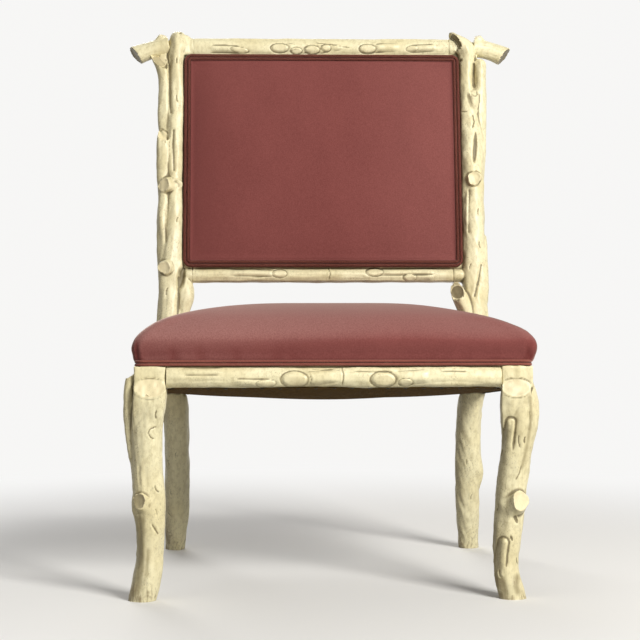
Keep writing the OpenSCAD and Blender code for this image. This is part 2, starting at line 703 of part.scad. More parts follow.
module crest_rail() {
    color(paint) difference() {
        back_frame() intersection() {
            back_rail_reach(crest_t0);
            union() {
                back_rail_wood(crest_t0, crest_show, -1);
                back_rail_log(crest_t0, crest_show);
                back_twig(crest_t0, crest_show, [[-0.87, 0.2, 0.43, 0.09], [-0.72, 0.34, 0.4, 0.14],
                    [-0.59, 0.49, 0.37, 0.14]], [0.5, -0.87, 0]);
                // Row of cut twig ends: share of the rail's half length, then height and radius
                for (p = [[-0.33, 0.49, 0.27], [-0.19, 0.38, 0.2], [-0.07, 0.46, 0.25], [0.04, 0.52, 0.24],
                    [0.37, 0.47, 0.26]])
                    back_twig(crest_t0, crest_show, [[p[0] + 0.14, 0.23, p[1] + 0.09, p[2] - 0.1],
                        [p[0] + 0.06, 0.4, p[1], p[2]], [p[0], 0.54, p[1] - 0.03, p[2]]], [-0.4, -0.9, 0]);
                back_twig(crest_t0, crest_show, [[0.87, 0.2, 0.43, 0.09], [0.76, 0.34, 0.4, 0.14],
                    [0.68, 0.49, 0.37, 0.16]], [-0.6, -0.8, 0]);
                back_twig(crest_t0, crest_show, [[0.25, -0.23, 0.6, 0.17], [0.08, -0.4, 0.6, 0.29],
                    [-0.03, -0.54, 0.57, 0.29]], [-0.5, 0.87, 0]);
            }
        }
        for (s = [-1, 1]) on_side(s) back_joint(crest_mid) dowel_hole_x(post_inner);
    }
}

// Cut branch end beside the crest rail, seated on the outer side of a post
module crest_stub(twig_len) {
    color(paint) difference() {
        stub_joint() {
            branch([[0, 0, 0, stub_r], [stub_len * 0.5, 0, 1, stub_r - 1], [stub_len, 0, -2, stub_r + 0.5]],
                16, 3, ref = [0, 0, 1], cut0 = [1, 0, 0], cut1 = [1, 0, -0.45]);
            branch([[twig_len + 24, 0, 6, 5], [twig_len + 10, -2, 14, 8], [twig_len, -2, 22, 8]], 10, 2,
                cut1 = [-0.5, -0.3, 0.8]);
        }
        stub_joint() dowel_hole_x(stub_dowel_shift);
        stub_joint() translate([-60, -60, -60]) cube([60, 120, 120]);
    }
}

module crest_stub_left() {
    on_side(-1) crest_stub(6);
}

module crest_stub_right() {
    crest_stub(2);
}

// Triangular blocks in the corners of the seat frame, with their screws
screw_seat = 18;
screw_head_h = 3;
screw_from_corner = 15;
function side_inner(v) = out_x(v) - rail_t;
front_far = side_v0 + block_side - 16;
rear_far = post_v0 - block_side + 16;

module front_block_plan() {
    polygon([[leg_in - block_side + 16, rail_t], [leg_in - fit_gap, rail_t],
        [leg_in - fit_gap, side_v0 + fit_gap], [side_inner(side_v0 + fit_gap), side_v0 + fit_gap],
        [side_inner(front_far), front_far]]);
}

module rear_block_plan() {
    polygon([[post_in - block_side + 16, rear_v0], [side_inner(rear_far), rear_far],
        [side_inner(post_v0 - fit_gap), post_v0 - fit_gap], [post_in - fit_gap, post_v0 - fit_gap],
        [post_in - fit_gap, rear_v0]]);
}

// Each screw drives along its own +z from the face that its head seats on
module in_front_rail() {
    seat_frame() translate([leg_in - screw_from_corner, rail_t + screw_seat, cross_mid])
        rotate([90, 0, 0]) children();
}

module in_rear_rail() {
    seat_frame() translate([post_in - screw_from_corner, rear_v0 - screw_seat, cross_mid])
        rotate([-90, 0, 0]) children();
}

module in_side_rail(v) {
    seat_frame() translate([side_inner(v) - screw_seat, v, side_mid])
        rotate([0, 90, 0]) children();
}

front_screw_v = side_v0 + screw_from_corner;
rear_screw_v = post_v0 - screw_from_corner;

module each_screw() {
    in_front_rail() children();
    in_rear_rail() children();
    in_side_rail(front_screw_v) children();
    in_side_rail(rear_screw_v) children();
}

module screw() {
    cylinder(h = screw_l, d = screw_d, $fn = 24);
    translate([0, 0, -screw_head_h]) cylinder(h = screw_head_h, d = screw_head_d, $fn = 24);
}

module screw_hole() {
    cylinder(h = screw_l + dowel_clear, d = screw_d + 2 * dowel_clear, $fn = 24);
}

module screw_counterbore() {
    screw_hole();
    translate([0, 0, -40]) cylinder(h = 40, d = screw_head_d + 1, $fn = 24);
}

module corner_blocks() {
    color(bare_wood) for (s = [-1, 1]) on_side(s) difference() {
        seat_frame() translate([0, 0, block_mid - block_h / 2]) linear_extrude(block_h) {
            front_block_plan();
            rear_block_plan();
        }
        each_screw() screw_counterbore();
    }
}

module corner_block_screws() {
    color(steel) for (s = [-1, 1]) on_side(s) each_screw() screw();
}

module seat_rail_dowels() {
    color(bare_wood) for (s = [-1, 1]) on_side(s) {
        front_joint() dowel_x(leg_in - dowel_back);
        rear_joint() dowel_x(post_in - dowel_back);
        side_joint(side_v0) dowel_x(0);
        side_joint(post_v0) dowel_x(0);
    }
}

module back_rail_dowels() {
    color(bare_wood) for (s = [-1, 1]) on_side(s) {
        back_joint(low_mid) dowel_x(post_inner);
        back_joint(crest_mid) dowel_x(post_inner);
    }
}

module crest_stub_dowels() {
    color(bare_wood) for (s = [-1, 1]) on_side(s) stub_joint() dowel_x(stub_dowel_shift);
}

// Woven webbing: a strip's side view, lifted by one thickness where it passes over
web_lift = web_t + fit_gap;
web_ramp = 10;

function strip_line(s0, s1, crossings, over) = concat([[s0, 0]],
    [for (i = [0 : len(crossings) - 1]) if (i % 2 == over)
        let (c = crossings[i], h = web_w / 2 + 2)
        each [[c - h - web_ramp, 0], [c - h, web_lift], [c + h, web_lift], [c + h + web_ramp, 0]]],
    [[s1, 0]]);

module strip(s0, s1, crossings, over) {
    line = strip_line(s0, s1, crossings, over);
    n = len(line) - 1;
    top = [for (i = [n : -1 : 0]) line[i] + [0, web_t]];
    translate([0, web_w / 2, 0]) rotate([90, 0, 0]) linear_extrude(web_w)
        polygon(concat(line, top));
}

function spread(lo, hi, count) =
    [for (i = [1 : count]) lo + (hi - lo) * (i - 0.5) / count];

web_xs = spread(-leg_in, leg_in, web_count);
web_vs = spread(rail_t, rear_v0, web_count);
web_edge = 5;

module seat_webbing() {
    color(jute) seat_frame() translate([0, 0, rail_land]) {
        for (i = [0 : web_count - 1]) {
            translate([web_xs[i], 0, 0]) rotate([0, 0, 90])
                strip(land_in + web_edge, rear_v1 - 8 - web_edge, web_vs, i % 2);
            translate([0, web_vs[i], 0])
                strip(-out_x(web_vs[i]) + land_in + web_edge, out_x(web_vs[i]) - land_in - web_edge,
                    web_xs, 1 - i % 2);
        }
    }
}

// Plan of the cushion's outer face at the tack line, pushed out by d: right half, front to back
cover_in = seat_welt_d + fit_gap;
cover_v0 = cover_in;
cover_v1 = rear_v1 - 8 + fit_gap + cover_t;
cover_corner = 16;
corner_steps = 4;
notch_gap = 4;

function seat_half(d) =
    let (r = cover_corner + d,
        xf = half_w - cover_in + d - r,
        xr = out_x(cover_v1) - cover_in + d - r,
        vf = cover_v0 - d + r,
        vr = cover_v1 + d - r)
    concat([[xf / 3, cover_v0 - d], [xf * 0.7, cover_v0 - d]],
        [for (k = [0 : corner_steps]) let (a = -90 + 90 * k / corner_steps)
            [xf + r * cos(a), vf + r * sin(a)]],
        [for (f = [0.25, 0.5, 0.75]) let (v = vf + (vr - vf) * f)
            [out_x(v) - cover_in + d, v]],
        [for (k = [0 : corner_steps]) let (a = 90 * k / corner_steps)
            [xr + r * cos(a), vr + r * sin(a)]],
        [[xf * 0.7, cover_v1 + d], [xf / 3, cover_v1 + d]]);

function both_halves(h) = concat(h, [for (i = [len(h) - 1 : -1 : 0]) [-h[i][0], h[i][1]]]);
cushion_mid = [0, (cover_v0 + cover_v1) / 2];
function seat_ring(d, f, w) =
    [for (p = both_halves(seat_half(d))) let (q = cushion_mid + f * (p - cushion_mid)) [q[0], q[1], w]];

// Crown of a cushion as a share of its rise, at a share f of the way out to its edge.
// A higher power gives a flatter top and a tighter edge
function crown_at(f, power) = sqrt(1 - pow(f, power));
seat_crown_power = 2.6;
back_crown_power = 3.6;
seat_rounds = [0.985, 0.955, 0.9, 0.8, 0.64, 0.42, 0.18];

// Outer face of the seat cover, taken in by d, from the height w0 up
function seat_rings(d, w0) = concat(
    [for (p = [[0, 0], [0, cover_in * 2 + 1], [border_swell * 0.6, border_h * 0.45],
        [border_swell, border_h * 0.78], [border_swell * 0.85, border_h]]) if (p[1] >= w0)
        seat_ring(p[0] - d, 1, p[1])],
    [for (f = seat_rounds)
        seat_ring(border_swell * 0.85 - d, f,
            border_h + (crown_h - border_h) * crown_at(f, seat_crown_power) - d)]);

function turned(list) = [for (i = [len(list) - 1 : -1 : 0]) list[i]];

module post_notches(gap) {
    for (s = [-1, 1]) on_side(s)
        translate([post_in - gap, post_v0 - gap, -80]) cube([120, 160, 300]);
}

module seat_cover() {
    color(velvet) seat_frame() difference() {
        skin(concat(turned(seat_rings(cover_t, 0)), seat_rings(0, 0)));
        post_notches(notch_gap);
    }
}

hessian_w = rail_land + 2 * web_t + 2 * fit_gap;

module seat_hessian() {
    color(jute) seat_frame() translate([0, 0, hessian_w]) linear_extrude(hessian_t) difference() {
        polygon(both_halves(seat_half(-cover_t - fit_gap)));
        for (s = [-1, 1]) translate([s > 0 ? post_in - notch_gap : -post_in + notch_gap - 120,
            post_v0 - notch_gap]) square([120, 160]);
    }
}

foam_w = hessian_w + hessian_t + fit_gap;

module seat_foam() {
    d = cover_t + fit_gap;
    color(foam_white) seat_frame() difference() {
        skin(concat([seat_ring(border_swell - d - 4, 1, foam_w)], seat_rings(d, foam_w)));
        post_notches(notch_gap + fit_gap);
    }
}

// Double welt round the foot of the cushion, from one post round the front to the other
module seat_welt() {
    r = seat_welt_d / 2;
    half = [for (p = seat_half(r + fit_gap)) if (p[1] < post_v0 - notch_gap) p];
    d = half_w - cover_in + r + fit_gap;
    end_v = post_v0 - notch_gap;
    right = concat(half, [[out_x(end_v) - cover_in + r + fit_gap, end_v]]);
    path = concat([for (p = turned(right)) [-p[0], p[1]]], right);
    color(velvet_light) seat_frame()
        for (w = [r + fit_gap, 3 * r + 2 * fit_gap])
            branch([for (p = path) [p[0], p[1], w, r]], 8, 1, ref = [0, 0, 1], gnarl = 0);
}

// Cloth under the seat, tacked below the rails
dust_x = 12;
dust_v0 = 10;
dust_v1 = rear_v1 - 14;
dust_cells_x = 10;
dust_cells_v = 8;
dust_w = -rail_show - fit_gap;

function dust_point(i, j, drop) =
    let (v = dust_v0 + (dust_v1 - dust_v0) * j / dust_cells_v,
        x = (out_x(v) - dust_x) * (2 * i / dust_cells_x - 1),
        a = min(1, abs(x) / side_inner(v)),
        b = min(1, abs(2 * v - rail_t - rear_v0) / (rear_v0 - rail_t)))
    [x, v, dust_w - dust_sag * (1 - a * a) * (1 - b * b) - drop];

module dust_cover() {
    nx = dust_cells_x;
    nv = dust_cells_v;
    rows = [for (i = [0 : nx]) concat(
        [for (j = [0 : nv]) dust_point(i, j, dust_t)],
        [for (j = [nv : -1 : 0]) dust_point(i, j, 0)])];
    color(dust_brown) seat_frame() difference() {
        ribbon(rows);
        for (s = [-1, 1]) on_side(s) {
            translate([leg_x - leg_r - 6, -20, -90]) cube([100, 20 + leg_w / 2 + leg_r + 4, 90]);
            translate([post_in - 2, post_v0 - 2, -90]) cube([100, 140, 90]);
        }
    }
}

// Closed sheet from cross-sections that run out along one face and back along the other
module ribbon(rows) {
    n = len(rows[0]);
    m = len(rows);
    h = n / 2;
    points = [for (r = rows, p = r) p];
    walls = [for (i = [0 : m - 2], k = [0 : n - 1])
        let (a = i * n + k, b = i * n + (k + 1) % n)
        each [[a, b + n, b], [a, a + n, b + n]]];
    ends = [for (e = [0, m - 1], k = [0 : h - 2])
        let (q = [e * n + k, e * n + k + 1, e * n + n - 2 - k, e * n + n - 1 - k])
        each e == 0 ? [[q[0], q[1], q[2]], [q[0], q[2], q[3]]] : [[q[0], q[2], q[1]], [q[0], q[3], q[2]]]];
    polyhedron(points, concat(walls, ends));
}

// The back is built up forward from its rebate
panel_half = panel_x - fit_gap;
panel_t0 = low_t1 + fit_gap;
panel_t1 = crest_t0 - fit_gap;
panel_mid = (panel_t0 + panel_t1) / 2;
back_web_xs = spread(-post_inner, post_inner, web_count);
back_web_ts = spread(low_t1 + back_land, crest_t0 - back_land, web_count - 1);

module back_webbing() {
    color(jute) back_frame() translate([0, land_front, 0]) rotate([90, 0, 0]) {
        for (i = [0 : web_count - 1])
            translate([back_web_xs[i], 0, 0]) rotate([0, 0, 90])
                strip(panel_t0 + web_edge, panel_t1 - web_edge, back_web_ts, i % 2);
        for (i = [0 : web_count - 2])
            translate([0, back_web_ts[i], 0])
                strip(-panel_half + web_edge, panel_half - web_edge, back_web_xs, 1 - i % 2);
    }
}

// Outline of the back panel drawn in by d
function panel_outline(d) =
    let (r = max(2, panel_r - d), x = panel_half - d - r, t = (panel_t1 - panel_t0) / 2 - d - r)
    [for (q = [0 : 3], k = [0 : corner_steps + 2])
        let (a = 90 * q + 90 * min(k, corner_steps) / corner_steps,
            cx = (q == 0 || q == 3 ? 1 : -1) * x,
            ct = (q < 2 ? 1 : -1) * t,
            c = [cx, ct] + r * [cos(a), sin(a)],
            nq = (q + 1) % 4,
            nx = (nq == 0 || nq == 3 ? 1 : -1) * x,
            nt = (nq < 2 ? 1 : -1) * t,
            e = [nx, nt] + r * [cos(90 * q + 90), sin(90 * q + 90)])
        k <= corner_steps ? c : c + (e - c) * (k - corner_steps) / 3];

// Ring of the panel at a depth n forward of the back's middle plane
function panel_ring(d, f, n) = [for (p = panel_outline(d)) [f * p[0], -n, panel_mid + f * p[1]]];
hessian_n = back_land_t / 2 + 2 * web_t + 2 * fit_gap;
rim_n = hessian_n + hessian_t + fit_gap;
back_rounds = [0.97, 0.92, 0.82, 0.64, 0.4, 0.16];

function back_rings(d) = concat(
    [panel_ring(rim_w + d, 1, rim_n + cover_t - d)],
    [for (f = back_rounds) panel_ring(rim_w + d, f, rim_n + cover_t - d
        + back_crown * crown_at(f, back_crown_power))]);

module back_hessian() {
    color(jute) back_frame() translate([0, -hessian_n, panel_mid]) rotate([90, 0, 0])
        linear_extrude(hessian_t) polygon(panel_outline(3));
}

module back_foam() {
    color(foam_white) back_frame()
        skin(back_rings(cover_t + fit_gap));
}

module back_cover() {
    color(velvet) back_frame() skin(concat(
        turned(back_rings(cover_t)),
        [panel_ring(0, 1, rim_n), panel_ring(0, 1, rim_n + cover_t)], back_rings(0)));
}

// Cord laid round the panel, its middle drawn in by d from the panel's edge
module cord_loop(d, cord) {
    r = max(cord, panel_r - d);
    x = panel_half - d - r;
    t = (panel_t1 - panel_t0) / 2 - d - r;
    for (q = [[x, t, 0], [-x, t, 90], [-x, -t, 180], [x, -t, 270]])
        translate([q[0], q[1], 0]) rotate([0, 0, q[2]]) {
            rotate_extrude(angle = 90, $fn = 48) translate([r, 0]) circle(d = cord, $fn = 24);
            len_q = q[2] % 180 == 0 ? 2 * x : 2 * t;
            translate([0, r, 0]) rotate([0, -90, 0]) cylinder(h = len_q, d = cord, $fn = 24);
        }
}

module back_welt(n) {
    for (i = [0, 1])
        translate([0, n, panel_mid]) rotate([90, 0, 0])
            cord_loop(back_welt_d / 2 + i * (back_welt_d + fit_gap), back_welt_d);
}

module back_welt_front() {
    color(velvet_light) back_frame()
        back_welt(-rim_n - cover_t - fit_gap - back_welt_d / 2);
}

module back_outside_cover() {
    color(velvet) back_frame() translate([0, land_rear + fit_gap + cover_t, panel_mid])
        rotate([90, 0, 0]) linear_extrude(cover_t) polygon(panel_outline(0));
}

module back_welt_rear() {
    color(velvet_light) back_frame()
        back_welt(land_rear + 2 * fit_gap + cover_t + back_welt_d / 2);
}

front_leg_left();
front_leg_right();
back_post_left();
back_post_right();
front_seat_rail();
side_seat_rail_left();
side_seat_rail_right();
rear_seat_rail();
lower_back_rail();
crest_rail();
crest_stub_left();
crest_stub_right();
corner_blocks();
corner_block_screws();
seat_rail_dowels();
back_rail_dowels();
crest_stub_dowels();
seat_webbing();
seat_hessian();
seat_foam();
seat_cover();
seat_welt();
dust_cover();
back_webbing();
back_hessian();
back_foam();
back_cover();
back_welt_front();
back_outside_cover();
back_welt_rear();
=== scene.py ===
"""Dresses the carved branch chair: painted faux bois wood, velvet upholstery and a plain studio."""

import math

import bpy
import numpy as np
from bpy.props import FloatProperty, FloatVectorProperty, IntProperty, PointerProperty
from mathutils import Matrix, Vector


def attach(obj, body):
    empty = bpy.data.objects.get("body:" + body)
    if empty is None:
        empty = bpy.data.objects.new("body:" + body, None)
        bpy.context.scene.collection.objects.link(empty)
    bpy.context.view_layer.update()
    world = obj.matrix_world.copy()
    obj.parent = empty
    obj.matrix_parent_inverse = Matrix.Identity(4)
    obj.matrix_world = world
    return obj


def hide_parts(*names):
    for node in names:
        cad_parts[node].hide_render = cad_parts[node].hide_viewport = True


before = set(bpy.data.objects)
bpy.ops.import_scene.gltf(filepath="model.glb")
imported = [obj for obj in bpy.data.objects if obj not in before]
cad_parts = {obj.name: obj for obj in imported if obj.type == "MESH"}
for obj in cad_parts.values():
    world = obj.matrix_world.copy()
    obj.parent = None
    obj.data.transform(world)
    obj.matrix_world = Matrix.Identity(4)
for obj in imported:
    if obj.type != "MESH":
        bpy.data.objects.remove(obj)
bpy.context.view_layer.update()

bl_info = {
    "name": "Carved Branch Chair",
    "version": (1, 0, 0),
    "blender": (4, 5, 0),
    "location": "View3D > Sidebar > Branch Chair",
    "description": "Carved branches, velvet upholstery and studio for the packed chair frame",
    "category": "Object",
}

MM = 0.001
BODY = "root"

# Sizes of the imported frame, in millimetres
SEAT_D = 463
TACK_Z = 367
SLOPE = math.radians(5.3)
RAKE = math.radians(11.9)
KNEE_Z = TACK_Z + 3
BEND_Z = KNEE_Z + 90
REAR_KICK = 57
POST_TOP = 957
FRONT_REACH, REAR_REACH = 18, 33
HALF_W = 311
LEG_W = 50
LEG_IN = HALF_W - LEG_W
LEG_X = HALF_W - LEG_W / 2
POST_W = 48
POST_OUT = 303
POST_X = POST_OUT - POST_W / 2
POST_IN = POST_OUT - POST_W
POST_V0 = (SEAT_D - POST_W / 2) / math.cos(SLOPE)
REAR_V0 = POST_V0 + 6
RAIL_T = 34
REAR_V1 = REAR_V0 + RAIL_T
RAIL_SHOW, RAIL_LAND, LAND_IN = 33, 31, 7
RAIL_TAPER = 8
LOW_Z, CREST_Z = 491, 909
LOW_SHOW, CREST_SHOW = 25, 35
CREST_TOP = CREST_Z + CREST_SHOW
POST_HEAD = CREST_TOP - 28
BACK_T = 32
PANEL_X = 254.5
POST_INNER = PANEL_X - 18
STUB_Z = CREST_TOP - 15
STUB_ROOT = POST_INNER + 45
STUB_DROOP = math.radians(14)
LAND_N = 8.5

# Clearance in a joint, and between a cover and the wood beside it
JOINT_GAP, COVER_GAP = 0.15, 0.3

# Steps of the branches, and layers of ripples in old carved wood
BRANCH_STEP = 4.0
RIPPLES = 30


def axis_d(z):
    """Depth of a back post's axis behind the front of the seat, at a height."""
    if z < KNEE_Z:
        return SEAT_D + REAR_KICK * ((KNEE_Z - z) / KNEE_Z) ** 2
    if z < BEND_Z:
        return SEAT_D + math.tan(RAKE) * (z - KNEE_Z) ** 2 / (2 * (BEND_Z - KNEE_Z))
    return SEAT_D + math.tan(RAKE) * (z - (KNEE_Z + BEND_Z) / 2)


FRONT_Y = -(axis_d(POST_TOP) + REAR_REACH - FRONT_REACH) / 2
LEG_Y = FRONT_Y + LEG_W / 2 - 3
BACK_Y = FRONT_Y + axis_d(BEND_Z)


def axis_y(z):
    return FRONT_Y + axis_d(z)


def along(z):
    """Distance up the leaning back for a height."""
    return (z - BEND_Z) / math.cos(RAKE)


LOW_T = along(LOW_Z)
CREST_T = along(CREST_Z)


def out_x(v):
    """Outer face of a side rail, at a distance behind the front of the seat."""
    return HALF_W - RAIL_TAPER * np.maximum(0, v - LEG_W) / (POST_V0 - LEG_W)


def on_seat(p):
    """Places points of the sloping seat (across, back, up from the tack line) in the chair."""
    p = np.asarray(p, float)
    c, s = math.cos(SLOPE), math.sin(SLOPE)
    return np.stack([p[..., 0], FRONT_Y + p[..., 1] * c + p[..., 2] * s,
                     TACK_Z - p[..., 1] * s + p[..., 2] * c], -1)


def on_back(p):
    """Places points of the leaning back (across, behind, up) in the chair."""
    p = np.asarray(p, float)
    c, s = math.cos(RAKE), math.sin(RAKE)
    return np.stack([p[..., 0], BACK_Y + p[..., 1] * c + p[..., 2] * s,
                     BEND_Z - p[..., 1] * s + p[..., 2] * c], -1)


def upright(p):
    return np.asarray(p, float)


# Meshes

def unit(v):
    v = np.asarray(v, float)
    return v / np.maximum(np.linalg.norm(v, axis=-1, keepdims=True), 1e-9)


def smooth_rows(rows):
    """Points every few millimetres on a smooth curve through rows of x, y, z, radius."""
    rows = np.asarray(rows, float)
    last = len(rows) - 1
    parts = []
    for i in range(last):
        a, b, c, d = rows[max(0, i - 1)], rows[i], rows[i + 1], rows[min(last, i + 2)]
        count = max(2, int(np.linalg.norm(c[:3] - b[:3]) / BRANCH_STEP))
        u = (np.arange(count) / count)[:, None]
        m0, m1 = (c - a) / 2, (d - b) / 2
        parts.append((2 * u ** 3 - 3 * u ** 2 + 1) * b + (u ** 3 - 2 * u ** 2 + u) * m0
                     + (3 * u ** 2 - 2 * u ** 3) * c + (u ** 3 - u ** 2) * m1)
    parts.append(rows[-1:])
    return np.vstack(parts)


def skin(rings):
    """Closed mesh over rings of points, its two ends closed on their middles."""
    rings = np.asarray(rings, float)
    count, sides = rings.shape[:2]
    points = np.vstack([rings.reshape(-1, 3), rings[0].mean(0), rings[-1].mean(0)])
    k = np.arange(sides)
    k2 = (k + 1) % sides
    faces = []
    for i in range(count - 1):
        a, b = i * sides, (i + 1) * sides
        faces += np.stack([a + k, a + k2, b + k2, b + k], 1).tolist()
    low, high = count * sides, count * sides + 1
    faces += [[low, int(y), int(x)] for x, y in zip(k, k2)]
    faces += [[high, int((count - 1) * sides + x), int((count - 1) * sides + y)] for x, y in zip(k, k2)]
    return points, faces


def sawn_end(ring, normal):
    """Rings that close a branch with a sawn face: a thin lip and a slightly dished middle."""
    middle = ring.mean(0)
    dish = -unit(normal)
    return [middle + f * (ring - middle) + d * dish for f, d in ((0.9, 0.2), (0.84, 1.6), (0.4, 2.0))]


def domed_end(ring, way, radius):
    """Rings that close a branch with a worn round end."""
    middle = ring.mean(0)
    steps = [math.radians(a) for a in (22, 42, 60, 76)]
    return [middle + math.cos(a) * (ring - middle) + math.sin(a) * radius * way for a in steps]


def tube(rows, sides=36, across=(0, 1, 0), squash=1.0, lumps=0.03, seed=0.0,
         cut0=None, cut1=None, dome0=False, dome1=False):
    """Branch through rows of x, y, z, radius. lumps is how uneven its skin is.

    A cut is the normal of the sawn face at that end, and a dome rounds that end off."""
    path = smooth_rows(rows)
    centre, radius = path[:, :3], path[:, 3]
    t = unit(np.gradient(centre, axis=0))
    e1 = unit(np.cross(across, t))
    e2 = np.cross(t, e1)
    s = np.concatenate([[0], np.cumsum(np.linalg.norm(np.diff(centre, axis=0), axis=1))])
    a = (2 * math.pi * np.arange(sides) / sides)[None, :]
    s = s[:, None]
    wobble = 1 + lumps * (np.sin(3 * a + 0.021 * s + seed) + 0.8 * np.sin(2 * a - 0.033 * s + 2 * seed)
                          + 0.5 * np.sin(5 * a + 0.05 * s - seed) + 0.5 * np.sin(0.06 * s + 3 * seed))
    reach = (radius[:, None] * wobble)[..., None]
    turn = np.cos(a)[..., None] * e1[:, None] + squash * np.sin(a)[..., None] * e2[:, None]
    rings = list(centre[:, None] + reach * turn)
    for end, cut in ((0, cut0), (-1, cut1)):
        if cut is not None:
            n = unit(cut)
            slide = ((centre[end] - rings[end]) @ n) / (t[end] @ n)
            rings[end] = rings[end] + slide[:, None] * t[end]
    if cut0 is not None:
        rings = sawn_end(rings[0], cut0)[::-1] + rings
    elif dome0:
        rings = domed_end(rings[0], -t[0], radius[0])[::-1] + rings
    if cut1 is not None:
        rings = rings + sawn_end(rings[-1], cut1)
    elif dome1:
        rings = rings + domed_end(rings[-1], t[-1], radius[-1])
    return skin(rings)


def knot(at, toward, radius, length, flare=1.55, seed=0.0, cut=None):
    """Short sawn twig that grows out of the branch behind it, wider at its root."""
    way = unit(toward)
    at = np.asarray(at, float)
    rows = [[*(at + way * length * f), radius * (1 + (flare - 1) * (1 - f) ** 1.6)]
            for f in (0, 0.3, 0.6, 0.85, 1)]
    across = (0, 1, 0) if abs(way[1]) < 0.7 else (1, 0, 0)
    return tube(rows, 32, across, lumps=0.07, seed=seed, cut1=way if cut is None else cut)


def tip(at, toward, length):
    """Where a knot ends."""
    return np.array(at) + length * unit(toward)


def slab(low, high, place=upright):
    """Plain squared block between two corners, in the seat's, the back's or the chair's own directions."""
    (x0, y0, z0), (x1, y1, z1) = low, high
    p = [(x, y, z) for z in (z0, z1) for y in (y0, y1) for x in (x0, x1)]
    faces = [[0, 2, 3, 1], [4, 5, 7, 6], [0, 1, 5, 4], [2, 6, 7, 3], [0, 4, 6, 2], [1, 3, 7, 5]]
    return place(p), faces


def prism(plan, low, high):
    """Upright block over a plan outline that runs anticlockwise."""
    n = len(plan)
    points = [(*p, low) for p in plan] + [(*p, high) for p in plan]
    walls = [[i, (i + 1) % n, n + (i + 1) % n, n + i] for i in range(n)]
    return np.asarray(points, float), walls + [list(range(n))[::-1], list(range(n, 2 * n))]


def mirrored(part):
    points, faces = part
    return points * [-1, 1, 1], [f[::-1] for f in faces]


def mesh_of(name, points, faces, scale=1.0):
    mesh = bpy.data.meshes.new(name)
    mesh.from_pydata((np.asarray(points) * scale).tolist(), [], faces)
    mesh.update()
    return mesh


def new_object(name, mesh):
    obj = bpy.data.objects.new(name, mesh)
    bpy.context.collection.objects.link(obj)
    return obj


def settled(obj, name=None):
    """The evaluated mesh of an object, as a plain mesh of its own. The object is removed."""
    graph = bpy.context.evaluated_depsgraph_get()
    mesh = bpy.data.meshes.new_from_object(obj.evaluated_get(graph))
    mesh.name = name or obj.name
    bpy.data.objects.remove(obj)
    return mesh


def shade_smooth(mesh):
    mesh.polygons.foreach_set("use_smooth", np.ones(len(mesh.polygons), dtype=bool))


def add_layers(mesh, **layers):
    """Notes values for each point of a mesh, that the materials read by name."""
    for key, values in layers.items():
        layer = mesh.attributes.new(key, "FLOAT", "POINT")
        layer.data.foreach_set("value", np.asarray(values, np.float32))


def coordinates(mesh, key="co"):
    """The vertices of a mesh, or their normals, as rows of x, y, z."""
    out = np.empty(len(mesh.vertices) * 3)
    mesh.vertices.foreach_get(key, out)
    return out.reshape(-1, 3)


def joined(parts):
    points, faces, base = [], [], 0
    for p, f in parts:
        points.append(np.asarray(p, float))
        faces += [[i + base for i in face] for face in f]
        base += len(p)
    return np.vstack(points), faces


def fused(parts, voxel):
    """One skin round overlapping closed parts."""
    points, faces = joined(parts)
    obj = new_object("fusing", mesh_of("fusing", points, faces))
    mod = obj.modifiers.new("Fuse", "REMESH")
    mod.mode = "VOXEL"
    mod.voxel_size = voxel
    mod.adaptivity = 0
    return settled(obj)


def neighbour_mean(points, edges):
    """Mean of each point's neighbours along the edges."""
    n = len(points)
    i, j = edges[:, 0], edges[:, 1]
    count = np.bincount(i, minlength=n) + np.bincount(j, minlength=n)
    total = np.stack([np.bincount(i, points[j, k], n) + np.bincount(j, points[i, k], n) for k in range(3)], 1)
    return total / np.maximum(count, 1)[:, None]


def point_normals(points, quads):
    """Outward normals of a mesh of quads."""
    a, b, c, d = (points[quads[:, k]] for k in range(4))
    n = np.cross(c - a, d - b)
    out = np.zeros_like(points)
    for k in range(4):
        for axis in range(3):
            out[:, axis] += np.bincount(quads[:, k], n[:, axis], len(points))
    return unit(out)


def ease(x, low, high):
    """0 below low, 1 above high, smooth between."""
    u = np.clip((x - low) / (high - low), 0, 1)
    return u * u * (3 - 2 * u)


FACES = {"front": (0, -1, 0), "back": (0, 1, 0), "right": (1, 0, 0), "left": (-1, 0, 0)}


class Surface:
    """Points of a mesh in millimetres, with the edges and quads between them."""

    def __init__(self, mesh, points):
        self.points = points
        edges = np.empty(len(mesh.edges) * 2, dtype=np.int32)
        mesh.edges.foreach_get("vertices", edges)
        self.edges = edges.reshape(-1, 2)
        self.quads = np.array([p.vertices[:] for p in mesh.polygons if len(p.vertices) == 4])

    def smooth(self, passes, share=0.5):
        for _ in range(passes):
            self.points += share * (neighbour_mean(self.points, self.edges) - self.points)

    def normals(self):
        return point_normals(self.points, self.quads)


